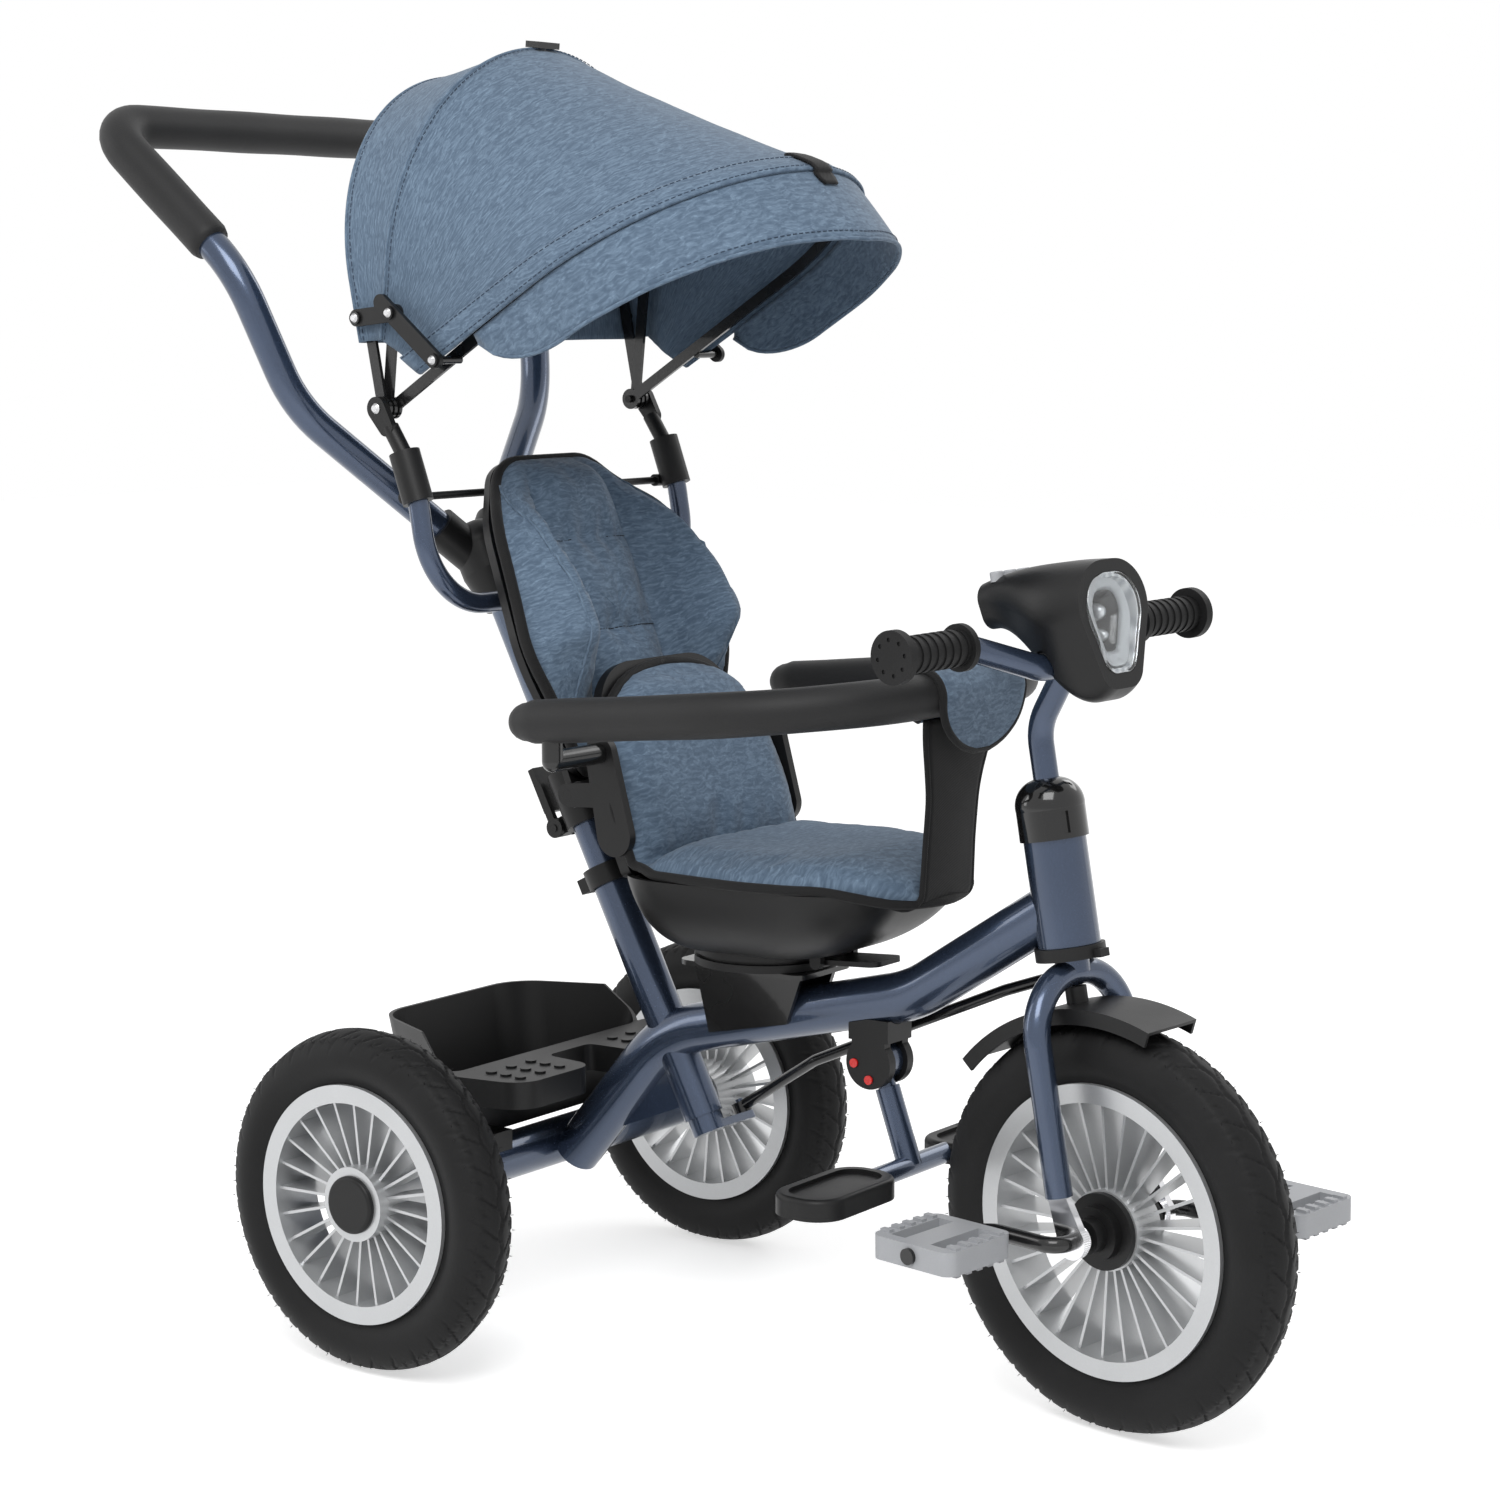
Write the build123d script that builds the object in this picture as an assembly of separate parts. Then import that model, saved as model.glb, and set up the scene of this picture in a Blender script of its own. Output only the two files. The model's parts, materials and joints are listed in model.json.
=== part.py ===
from build123d import *
from math import atan2, cos, degrees, hypot, radians, sin, tan
import os

# Children's tricycle: push handle, swivel seat, folding canopy and pedal front wheel.
# Units are millimetres. +X is forward, +Y is the rider's left and +Z is up. Every piece is drawn with the
# rear axle above x = 0 on the ground plane z = 0, and is moved by ORIGIN_X when it is written, which puts
# the origin under the middle of the tricycle.

# Origin and fits
ORIGIN_X = -182.8          # rear axle, from the middle of the overall length
RUN_FIT = 0.05             # radial clearance of a turning or sliding shaft
SEAT_GAP = 0.3             # gap between pieces that rest on each other
FREE_GAP = 1.0             # gap between faces that pass each other

# Rear wheels and axle
REAR_WHEEL_R = 133.0
REAR_TYRE_W = 49.0
REAR_RIM_R = 93.0
REAR_TRACK_HALF = 220.0    # from the middle plane to a rear wheel's mid plane
REAR_FINS = 24
REAR_AXLE_R = 6.0
AXLE_TUBE_R = 19.0
AXLE_TUBE_HALF = 186.0
AXLE_TUBE_WALL = 3.0
AXLE_PLUG_LEN = 22.0
HUB_CAP_R = 22.5
REAR_BOSS_R = 29.0

# Front wheel, crank and pedals
FRONT_WHEEL_R = 152.0
FRONT_TYRE_W = 50.0
FRONT_RIM_R = 109.0
FRONT_AXLE_X = 532.0
FRONT_FINS = 28
CRANK_R = 6.0
CRANK_LEN = 65.0
CRANK_ARM_Y = 68.0
CRANK_BEND = 13.0
PEDAL_Y = 117.5
PEDAL_SIZE = (75.0, 70.0, 22.0)
FRONT_BOSS_R = 30.0
HUB_CORE_R = 18.0
HUB_FLANGE_R = 28.5
HUB_STEP_R = 20.0
HUB_HALF = 38.0

# Wheel sections
RIM_RING = 14.0
RIM_HALF_W = 22.0
RIM_FLANGE = 4.0
RIM_BED_DEPTH = 5.0
FIN_T = 2.2
FIN_HALF_RIM = 17.0
FIN_HALF_HUB = 11.0
TREAD_HALF = 15.0
TREAD_DROP = 5.0
GROOVE_W = 2.4
GROOVE_DEPTH = 1.6
GROOVE_Y = 8.0

# Steering head, fork and fender
HEAD_TILT = 10.2           # head axis leans back from vertical
STEER_AT_REST = -8.3       # front wheel as it stands, turned to the rider's right
FORK_OFFSET = 6.8          # axle ahead of the head axis
CROWN_ABOVE_AXLE = 187.0   # along the head axis
FORK_TUBE_R = 10.0
FORK_HALF_W = 50.0
FORK_BEND = 45.0
FORK_LEG_END = 32.5        # end of a leg above the axle
STEERER_R = 12.7
HEAD_TUBE_R = 23.0
HEAD_BORE_R = 19.0
HEAD_TUBE_LEN = 78.0
HEAD_RING_R = 26.0
HEAD_RING_H = 9.5
BUSH_LEN = 12.0
HEAD_CAP_R = 25.5
HEAD_CAP_H = 44.0
DROPOUT_T = 6.0
DROPOUT_EYE_R = 13.0
FENDER_GAP = 10.0
FENDER_T = 2.5
FENDER_HALF_W = 28.0
FENDER_SKIRT = 9.0
FENDER_FRONT = 30.0        # degrees ahead of the head axis
FENDER_REAR = 36.0         # degrees behind the head axis
STEER_ARM = (-24.0, 44.0)  # pin of the steering arm, from the head axis, beside the main tube's path
ROD_EYE_CLEAR = 4.5        # loose eye at the front end of the steering rod

# Handlebar and lamp, in the fork's own frame
BAR_R = 9.5
BAR_HALF_W = 166.0
BAR_BEND = 40.0
STEM_BEND = 38.0
GRIP_R = 13.5
GRIP_FLANGE_R = 19.0
GRIP_LEN = 75.0
GRIP_RIBS = 9
GRIP_MOUTH = 1.2           # the bore widens here, where the bar begins to bend
GRIP_MOUTH_LEN = 14.0
BAR_MID_X = 36.0
BAR_MID_Z = 222.0
BAR_MID_HALF = 32.0
BAR_END_X = 22.0
BAR_END_Z = 245.0
LAMP_FRONT_X = 84.0
LAMP_REAR_X = -16.0
LAMP_TOP_Z = 292.0
LAMP_WALL = 3.0
LENS_W = 84.0
LENS_H = 72.0
LENS_T = 4.0
LENS_CLEAR = 0.2
REFLECTOR_DEPTH = 30.0
KEY_R = 5.0
KEY_PITCH = 15.0
KEY_COUNT = 4
KEY_TRAVEL = 1.5

# Main frame
MAIN_TUBE_R = 19.5
MAIN_BEND_FRONT = (354.0, 300.0)
MAIN_BEND_REAR = (120.0, 241.0)
MAIN_BEND_R = 110.0
MAIN_END = (24.0, 128.0)
MAIN_HEAD_DROP = 47.0      # where the main tube meets the head axis, below the head tube's top
SOCKET_FOOT = (155.0, 177.5)
SOCKET_TILT = 27.3
SOCKET_LEN = 207.0
SOCKET_R = 16.0
GUSSET_T = 4.0

# Push handle, with lengths along the socket axis from SOCKET_FOOT
HANDLE_TUBE_R = 14.0
HANDLE_TUBE_TOP = 288.0
HANDLE_TUBE_FOOT = -14.0
POST_R = 11.4
POST_FOOT = 170.0
HUB_AT = 480.0
HANDLE_HUB_R = 23.0
HANDLE_HUB_H = 74.0
ARM_R = 12.5
FOAM_R = 17.0
HANDLE_HALF_W = 190.0
COLLAR_R = 19.5
COLLAR_H = 16.0
CLAMP_R = 18.5
CLAMP_H = 46.0
CLAMP_PIN_R = 3.0
HANDLE_ARM_Y = 48.0        # pin of the lever at the handle's foot
ROD_R = 4.5
ROD_PIN_R = 3.0
ROD_DROP = 14.0            # rod below the steering arm
ROD_BEND = 24.0
ROD_KNEE_REAR = (82.0, -14.0, 52.0)     # bend inside the folded footrest's pads, from the rear pin
ROD_KNEE_FRONT = (-66.0, -8.0, -24.0)   # bend below the main tube, from the front pin

# Seat
SEAT_AXIS_X = 215.0
BRACKET_TOP = 310.0
BRACKET_LEN = 118.0
BRACKET_HALF_W = 36.0
BRACKET_T = 4.0
TURNTABLE_R = 55.0
TURNTABLE_H = 15.0
SWIVEL_PIN_R = 8.0
SEAT_WALL = 4.0
SEAT_RIM_Z = 386.0
SEAT_FRONT_X = 368.0
LOW_BACK_FOOT = (166.0, 386.0)
LOW_BACK_LEAN = 20.0
LOW_BACK_H = 160.0
LOW_BACK_HALF_W = 106.0
LOW_BACK_T = 9.0
PAD_T = 20.0
PAD_SAG = 7.0
RELEASE_HALF_W = 19.0
RELEASE_PIN_R = 2.0

# Safety bar
BAR_REAR = (118.0, 506.0)
BAR_FRONT = (396.0, 534.0)
SAFETY_HALF_W = 165.0
SAFETY_BEND = 128.0
SAFETY_TUBE_R = 8.0
SAFETY_FOAM_R = 16.5
SAFETY_PIVOT = (140.0, 478.0)
SAFETY_ARM_Y = 104.0       # inner face of the arms on the seat that carry the bar
WRAP_T = 3.5
WRAP_HALF = 33.0
STRAP_W = 62.0
STRAP_T = 3.0

# Backrest
BACK_FOOT = (83.6, 450.0)  # rear face of the shell, in the middle plane
BACK_LEAN = 22.4
BACK_H = 256.0
BACK_HALF_W = 124.0
BACK_SHELL_T = 6.0
BACK_PAD_T = 28.0
WING_IN = 66.0
WING_DEPTH = 46.0
RECLINE_AT = (10.0, -14.0) # pivot ahead of and below BACK_FOOT, in the backrest's own directions
RECLINE_EAR_R = 9.0
RECLINE_PIN_R = 4.0

# Canopy
CARRIER_R = 8.0
CARRIER_Z = 585.0          # crossbar of the carrier, behind the backrest
CARRIER_HALF_W = 160.0
CARRIER_BEND = 58.0
SLEEVE_FOOT = (5.2, 665.0)
SLEEVE_TOP = (-7.3, 699.0)
SLEEVE_R = 12.0
POST_THIN_R = 6.5
CROSS_ROD_R = 3.0
CANOPY_HINGE = (-32.0, 735.5)
CANOPY_HALF_W = 165.0
COVER_T = 2.5
COVER_FOOT = 52.0
REAR_BOW = (101.5, 265.0)  # angle above forward, length from the hinge
MID_BOW = (84.0, 279.0)
FRONT_BOW = (32.0, 346.0)
BOW_T = 3.0
BOW_W = 9.0
BOW_GAP = 1.2
BOW_Y_REAR = 157.5         # legs of the three bows lie side by side on the hinge pin
BOW_Y_MID = 152.0
BOW_Y_FRONT = 146.5
VISOR_REACH = 60.0
VISOR_T = 1.8
VISOR_DIR = (0.707, -0.707)
VISOR_FOOT = 150.0         # where the visor begins, along the front bow
BRACE_A = (-46.0, 804.0)
BRACE_E = (-7.0, 808.0)
BRACE_F = (37.0, 773.0)
BRACE_W = 13.0
BRACE_T = 4.0
BRACE_OFF = 2.5            # links stand off the cover's side
RIVET_R = 3.0
RIVET_HEAD_R = 5.0

# Footrest
FOOT_PIVOT = (323.0, 246.0)
FOOT_CROSS = (351.0, 168.0)
FOOT_DRUM_R = 20.0
FOOT_CHEEK_IN = 8.0
FOOT_CHEEK_T = 8.0
FOOT_KNUCKLE_R = 16.0
FOOT_LEG_R = 9.5
FOOT_CROSS_R = 8.0
FOOT_CROSS_HALF = 52.0
FOOT_PAD = (56.0, 105.0, 16.0)
FOOT_PAD_Y = 98.0
FOOT_PIN_R = 4.0
BUTTON_R = 3.5
BUTTON_TRAVEL = 1.2
BUTTON_PROUD = 1.5

# Basket
BASKET_RIM_Z = 240.0
BASKET_REAR_X = -115.0
BASKET_FRONT_X = 4.0
BASKET_HALF_W = 135.0
BASKET_WALL = 2.5
BASKET_TAPER = 16.0
STEP_TOP_Z = 212.0
STEP_FRONT_X = 66.0
STEP_NOTCH_HALF = 30.0
STEP_SKIRT = 22.0


def rod_along(points, radius, bend):
    """A round bar through points, with every corner rounded to the bend radius."""
    path = FilletPolyline(*points, radius=bend)
    start = Plane(origin=path @ 0, z_dir=path % 0)
    return sweep(start * Circle(radius), path=path)


def straight_rod(start, end, radius, bore=0.0):
    """A straight round bar or tube between two points."""
    run = Vector(*end) - Vector(*start)
    plane = Plane(origin=start, z_dir=run)
    section = Circle(radius)
    if bore:
        section -= Circle(bore)
    return extrude(plane * section, amount=run.length)


def mirrored(shape):
    """The piece's twin on the other side of the middle plane."""
    return mirror(shape, about=Plane.XZ)


def both_sides(shape):
    """A piece and its twin as one node of two solids."""
    return Compound(children=[shape, mirrored(shape)])


def ring_y(outer, inner, low, high):
    """A ring or disc around the Y axis between two heights along Y."""
    plane = Plane(origin=(0, low, 0), x_dir=(1, 0, 0), z_dir=(0, 1, 0))
    section = Circle(outer)
    if inner:
        section -= Circle(inner)
    return extrude(plane * section, amount=high - low)


def slab(outline, plane, depth):
    """A closed outline on a plane, extruded along its normal."""
    return extrude(plane * outline, amount=depth)


def rounded_polygon(points, radii):
    """A closed outline with rounded corners, one radius for each corner."""
    return make_face(FilletPolyline(*points, radius=radii, close=True))


# Wheels
def wheel_tyre(outer, width, rim_r):
    """Tyre section with bead, bulging sidewalls, a rounded tread and running grooves."""
    bead_r = rim_r - RIM_BED_DEPTH + SEAT_GAP / 3
    bead_half = RIM_HALF_W - RIM_FLANGE - SEAT_GAP / 3
    lip_r = rim_r + FREE_GAP
    mid_r = (lip_r + outer) / 2 + 2
    shoulder_r = outer - TREAD_DROP
    side = [
        Line((bead_r, -bead_half), (bead_r, bead_half)),
        Line((bead_r, bead_half), (lip_r, bead_half)),
        ThreePointArc((lip_r, bead_half), (mid_r, width / 2), (shoulder_r, TREAD_HALF)),
        ThreePointArc((shoulder_r, TREAD_HALF), (outer, 0), (shoulder_r, -TREAD_HALF)),
        ThreePointArc((shoulder_r, -TREAD_HALF), (mid_r, -width / 2), (lip_r, -bead_half)),
        Line((lip_r, -bead_half), (bead_r, -bead_half)),
    ]
    tyre = revolve(make_face(side), axis=Axis.Y)
    for groove_y in (-GROOVE_Y, 0.0, GROOVE_Y):
        crown = outer - TREAD_DROP * (groove_y / TREAD_HALF) ** 2
        floor_r = crown - GROOVE_DEPTH
        tyre -= ring_y(outer + FREE_GAP, floor_r, groove_y - GROOVE_W / 2, groove_y + GROOVE_W / 2)
    return tyre


def wheel_rim(rim_r, boss_r, bore, fins, boss_low, boss_high):
    """Rim channel, thin radial fins and a hub boss in one moulding."""
    ring_in = rim_r - RIM_RING
    bed_r = rim_r - RIM_BED_DEPTH
    channel = ring_y(rim_r, ring_in, -RIM_HALF_W, RIM_HALF_W)
    channel -= ring_y(rim_r + FREE_GAP, bed_r, -RIM_HALF_W + RIM_FLANGE, RIM_HALF_W - RIM_FLANGE)
    boss = ring_y(boss_r, 0, boss_low, boss_high)
    root = boss_r - 2
    tip = ring_in + 2
    blade = Polyline(
        (root, -FIN_HALF_HUB), (tip, -FIN_HALF_RIM), (tip, FIN_HALF_RIM), (root, FIN_HALF_HUB), close=True
    )
    fin = extrude(make_face(blade), amount=FIN_T / 2, both=True)
    copies = [Rot(0, 360 * i / fins, 0) * fin for i in range(fins)]
    rim = channel + boss + copies
    return rim - ring_y(bore, 0, boss_low - FREE_GAP, boss_high + FREE_GAP)


def rear_wheel_place(side):
    """Where a rear wheel stands: side is +1 on the rider's left, -1 on the right."""
    return Pos(0, side * REAR_TRACK_HALF, REAR_WHEEL_R)


def rear_rim(side):
    inner = AXLE_TUBE_HALF + FREE_GAP / 2 - REAR_TRACK_HALF
    outer = RIM_HALF_W - 2
    rim = wheel_rim(REAR_RIM_R, REAR_BOSS_R, REAR_AXLE_R + RUN_FIT, REAR_FINS, inner, outer)
    if side < 0:
        rim = mirrored(rim)
    return rear_wheel_place(side) * rim


def rear_hub_cap(side):
    """Rounded cap over the axle's end, seated on the boss."""
    seat = RIM_HALF_W - 2
    cap = ring_y(HUB_CAP_R, 0, seat, seat + 4.5)
    cap = fillet(cap.edges().group_by(Axis.Y)[-1], 3)
    cap -= ring_y(REAR_AXLE_R + FREE_GAP, 0, seat - FREE_GAP, seat + 2)
    if side < 0:
        cap = mirrored(cap)
    return rear_wheel_place(side) * cap


def rear_tyre(side):
    return rear_wheel_place(side) * wheel_tyre(REAR_WHEEL_R, REAR_TYRE_W, REAR_RIM_R)


def rear_axle():
    half = REAR_TRACK_HALF + RIM_HALF_W - 1
    return Pos(0, 0, REAR_WHEEL_R) * ring_y(REAR_AXLE_R, 0, -half, half)


# Steering frame of reference
def crown_point():
    """Point on the head axis at the middle of the fork crown."""
    tilt = radians(HEAD_TILT)
    x = FRONT_AXLE_X - FORK_OFFSET * cos(tilt) - CROWN_ABOVE_AXLE * sin(tilt)
    z = FRONT_WHEEL_R - FORK_OFFSET * sin(tilt) + CROWN_ABOVE_AXLE * cos(tilt)
    return Vector(x, 0, z)


HEAD = Location(crown_point()) * Rot(0, -HEAD_TILT, 0)
FORK = HEAD * Rot(0, 0, STEER_AT_REST)
AXLE_SPOT = FORK * Pos(FORK_OFFSET, 0, -CROWN_ABOVE_AXLE)
WHEEL = AXLE_SPOT * Rot(0, HEAD_TILT, 0)

HEAD_RING_LOW = FORK_TUBE_R + SEAT_GAP
HEAD_TUBE_LOW = HEAD_RING_LOW + HEAD_RING_H + SEAT_GAP
HEAD_TUBE_HIGH = HEAD_TUBE_LOW + HEAD_TUBE_LEN


# Front wheel
def front_tyre():
    return WHEEL * wheel_tyre(FRONT_WHEEL_R, FRONT_TYRE_W, FRONT_RIM_R)


def front_rim():
    half = FIN_HALF_HUB + 3
    return WHEEL * wheel_rim(FRONT_RIM_R, FRONT_BOSS_R, HUB_CORE_R, FRONT_FINS, -half, half)


def front_hub():
    """Stepped hub: a core through the boss with a flange and a nose on each side."""
    half = FIN_HALF_HUB + 3
    hub = ring_y(HUB_CORE_R, 0, -half, half)
    for sign in (-1, 1):
        steps = (
            (half, half + 5, HUB_FLANGE_R), (half + 5, half + 13, HUB_STEP_R), (half + 13, HUB_HALF, 13.0)
        )
        for low, high, radius in steps:
            ends = sorted((sign * low, sign * high))
            hub += ring_y(radius, 0, *ends)
    return WHEEL * (hub - ring_y(CRANK_R, 0, -HUB_HALF - 1, HUB_HALF + 1))


def crankshaft():
    """One bent bar: pedal spindle, crank arm, axle, crank arm and spindle."""
    end = PEDAL_Y + PEDAL_SIZE[1] / 2 + 3
    points = [
        (-CRANK_LEN, -end, 0), (-CRANK_LEN, -CRANK_ARM_Y, 0), (0, -CRANK_ARM_Y, 0),
        (0, CRANK_ARM_Y, 0), (CRANK_LEN, CRANK_ARM_Y, 0), (CRANK_LEN, end, 0),
    ]
    return WHEEL * rod_along(points, CRANK_R, CRANK_BEND)


def pedal(side):
    """Open pedal body: ribbed treads front and back, end walls and a barrel on the spindle."""
    length, width, height = PEDAL_SIZE
    tread = 12.0
    body = fillet(Box(length, width, height * 0.8).edges().filter_by(Axis.Z), 9)
    window = (length - 2 * tread) / 2 - CRANK_R - 6
    for sign in (-1, 1):
        shift = sign * (CRANK_R + 6 + window / 2)
        body -= Pos(shift, 0, 0) * Box(window, width - 18, height)
        for rib in range(5):
            y = (rib - 2) * width / 6
            body += Pos(sign * (length / 2 - tread / 2), y, 0) * Box(tread - 3, 5, height)
    bore = ring_y(CRANK_R + RUN_FIT, 0, -width, width)
    return WHEEL * Pos(side * CRANK_LEN, side * PEDAL_Y, 0) * (body - bore)


# Fork group
def fork():
    """Inverted U of bent tube with the steerer welded to its crown."""
    foot = -CROWN_ABOVE_AXLE + FORK_LEG_END
    points = [(0, -FORK_HALF_W, foot), (0, -FORK_HALF_W, 0), (0, FORK_HALF_W, 0), (0, FORK_HALF_W, foot)]
    legs = rod_along(points, FORK_TUBE_R, FORK_BEND)
    steerer = Cylinder(STEERER_R, HEAD_TUBE_HIGH + 4, align=(Align.CENTER, Align.CENTER, Align.MIN))
    return FORK * (legs + steerer)


def fork_dropouts():
    """Flattened ends that carry the axle ahead of the legs."""
    foot = -CROWN_ABOVE_AXLE + FORK_LEG_END
    axle = (FORK_OFFSET, -CROWN_ABOVE_AXLE)
    plane = Plane(origin=(0, FORK_HALF_W - DROPOUT_T / 2, 0), x_dir=(1, 0, 0), z_dir=(0, -1, 0))
    neck = FORK_TUBE_R - 1.5
    outline = make_face(Polyline(
        (-neck, foot), (neck, foot), (axle[0] + DROPOUT_EYE_R - 1, axle[1] + 4),
        (axle[0] - DROPOUT_EYE_R + 1, axle[1] + 4), close=True
    ))
    outline += Pos(*axle) * Circle(DROPOUT_EYE_R)
    outline -= Pos(*axle) * Circle(CRANK_R + RUN_FIT)
    plate = extrude(plane * outline, amount=-DROPOUT_T)
    nut = Pos(axle[0], 0, axle[1]) * ring_y(
        CRANK_R + 5, CRANK_R + RUN_FIT, FORK_HALF_W - DROPOUT_T / 2 - 4, FORK_HALF_W - DROPOUT_T / 2
    )
    return FORK * both_sides(plate + nut)


def headset_ring():
    """Ring under the head tube with the steering arm behind and a small stop in front."""
    ring = Pos(0, 0, HEAD_RING_LOW) * Cylinder(
        HEAD_RING_R, HEAD_RING_H, align=(Align.CENTER, Align.CENTER, Align.MIN)
    )
    arm_end = Vector(STEER_ARM[0], STEER_ARM[1])
    eye_r = ROD_PIN_R + ROD_EYE_CLEAR
    outline = make_hull(
        (Pos(STEER_ARM[0] * 0.3, STEER_ARM[1] * 0.3) * Circle(14)).edges()
        + (Pos(arm_end.X, arm_end.Y) * Circle(eye_r + 4)).edges()
    )
    arm = Pos(0, 0, HEAD_RING_LOW - 6) * extrude(outline, amount=9)
    arm -= ring_y(FORK_TUBE_R + SEAT_GAP, 0, -60, 60)
    stop = Pos(HEAD_RING_R + 2, 0, HEAD_RING_LOW + 3) * Box(8, 10, 6)
    ring = ring + arm + stop
    ring -= Pos(0, 0, HEAD_RING_LOW) * Cylinder(STEERER_R, 4 * HEAD_RING_H)
    return FORK * (ring - Pos(arm_end.X, arm_end.Y, HEAD_RING_LOW) * Cylinder(eye_r, 4 * HEAD_RING_H))


def front_fender():
    """Arched guard with turned-down edges, hung from the crown by a boss."""
    inner = FRONT_WHEEL_R + FENDER_GAP
    outer = inner + FENDER_T
    half = FENDER_HALF_W
    top = make_face(Polyline((inner, -half), (outer, -half), (outer, half), (inner, half), close=True))
    for sign in (-1, 1):
        skirt = Pos((inner - FENDER_SKIRT + outer) / 2, sign * (half - FENDER_T / 2))
        top += skirt * Rectangle(outer - inner + FENDER_SKIRT, FENDER_T)
    span = FENDER_FRONT + FENDER_REAR
    arch = revolve(top, axis=Axis.Y, revolution_arc=span)
    to_front = atan2(CROWN_ABOVE_AXLE, -FORK_OFFSET)
    arch = Rot(0, -degrees(to_front) + FENDER_FRONT, 0) * Rot(0, -span, 0) * arch
    boss_low = CROWN_ABOVE_AXLE - FORK_TUBE_R - SEAT_GAP
    boss = Pos(-FORK_OFFSET, 0, boss_low) * Cylinder(
        8, boss_low - inner - 1, align=(Align.CENTER, Align.CENTER, Align.MAX)
    )
    return AXLE_SPOT * (arch + boss)


def handlebar():
    """Stem rising out of the steerer and bending forward to a swept bar."""
    right = [(BAR_END_X, -BAR_HALF_W, BAR_END_Z), (BAR_END_X, -BAR_HALF_W + GRIP_LEN - 2, BAR_END_Z),
             (BAR_MID_X, -BAR_MID_HALF, BAR_MID_Z)]
    left = [(x, -y, z) for x, y, z in reversed(right)]
    bar = rod_along(right + left, BAR_R, BAR_BEND)
    stem_low = HEAD_TUBE_HIGH + 4
    stem = rod_along([(0, 0, stem_low), (0, 0, BAR_MID_Z - 42), (BAR_MID_X, 0, BAR_MID_Z)], BAR_R, STEM_BEND)
    return FORK * (bar + stem)


def handlebar_grips():
    """Ribbed grips with a flange at each end, closed over the bar's ends."""
    rib = GRIP_LEN / (2 * GRIP_RIBS + 1)
    start = BAR_HALF_W - GRIP_LEN + 4
    grip = ring_y(GRIP_R - 1, 0, start, BAR_HALF_W + 3)
    for i in range(GRIP_RIBS):
        low = start + (2 * i + 1) * rib
        grip += ring_y(GRIP_R, GRIP_R - 2, low, low + rib)
    grip += ring_y(GRIP_FLANGE_R - 2, 0, start, start + 5)
    grip += ring_y(GRIP_FLANGE_R, 0, BAR_HALF_W - 4, BAR_HALF_W + 3)
    dimple = Pos(GRIP_FLANGE_R * 0.66, 0, 0) * ring_y(1.6, 0, BAR_HALF_W + 2, BAR_HALF_W + 4)
    for i in range(8):
        grip -= Rot(0, 45 * i, 0) * dimple
    grip -= ring_y(BAR_R, 0, start - 1, BAR_HALF_W)
    grip -= ring_y(BAR_R + GRIP_MOUTH, 0, start - 1, start + GRIP_MOUTH_LEN)
    return FORK * both_sides(Pos(BAR_END_X, 0, BAR_END_Z) * grip)


def lamp_outline(top_w, low_w, height, top_z, round_top, round_low):
    """Rounded triangle, point down, in the lamp's front view."""
    low_z = top_z - height
    points = [(-top_w / 2, top_z), (top_w / 2, top_z), (low_w / 2, low_z), (-low_w / 2, low_z)]
    return rounded_polygon(points, [round_top, round_top, round_low, round_low])


def lamp_plane(x):
    """Plane across the lamp at a distance along it, seen from the front."""
    return Plane(origin=(x, 0, 0), x_dir=(0, 1, 0), z_dir=(1, 0, 0))


LENS_TOP_Z = LAMP_TOP_Z - 9


def lens_outline(grow=0.0):
    scale = 1 + 2 * grow / LENS_W
    drop = LENS_H * (1 - scale) / 2
    return lamp_outline(LENS_W * scale, LENS_W * 0.34 * scale, LENS_H * scale, LENS_TOP_Z - drop,
                        26 * scale, 12 * scale)


def lamp_housing():
    """Wedge-shaped moulding over the bar's middle with a deep well behind the lens."""
    sections = [
        lamp_plane(LAMP_REAR_X) * lamp_outline(64, 48, 34, LAMP_TOP_Z - 4, 12, 12),
        lamp_plane(LAMP_REAR_X + 40) * lamp_outline(96, 46, 66, LAMP_TOP_Z + 2, 22, 16),
        lamp_plane(LAMP_FRONT_X - 26) * lamp_outline(118, 44, 100, LAMP_TOP_Z + 2, 34, 18),
        lamp_plane(LAMP_FRONT_X) * lamp_outline(104, 38, 92, LAMP_TOP_Z, 32, 16),
    ]
    body = loft(sections)
    lens_back = LAMP_FRONT_X - LENS_T + 1
    well = slab(lens_outline(LENS_CLEAR), lamp_plane(lens_back - SEAT_GAP), LENS_T + 4)
    well += loft([
        lamp_plane(lens_back - SEAT_GAP) * lens_outline(-1),
        lamp_plane(LAMP_FRONT_X - REFLECTOR_DEPTH - 4) * lens_outline(-14),
    ])
    body -= well
    body -= lamp_bar_room()
    for y in key_rows():
        body -= Pos(KEY_X, y, LAMP_TOP_Z) * Cylinder(KEY_R + RUN_FIT, 16)
    return FORK * body


def lamp_bar_room():
    """Channel in the housing for the bar and the stem's upper end."""
    channel = Pos(BAR_MID_X, 0, BAR_MID_Z) * ring_y(BAR_R + 0.5, 0, -80, 80)
    slope = [(BAR_MID_X, -BAR_MID_HALF, BAR_MID_Z), (BAR_END_X, -BAR_HALF_W + GRIP_LEN - 2, BAR_END_Z)]
    branch = straight_rod(slope[0], slope[1], BAR_R + 2.5)
    stem = straight_rod((BAR_MID_X, 0, BAR_MID_Z), (0, 0, BAR_MID_Z - 42), BAR_R + 1.5)
    return channel + branch + mirrored(branch) + stem


KEY_X = LAMP_REAR_X + 16


def key_rows():
    """Places across the lamp of the keys."""
    return [(i - (KEY_COUNT - 1) / 2) * KEY_PITCH for i in range(KEY_COUNT)]


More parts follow.
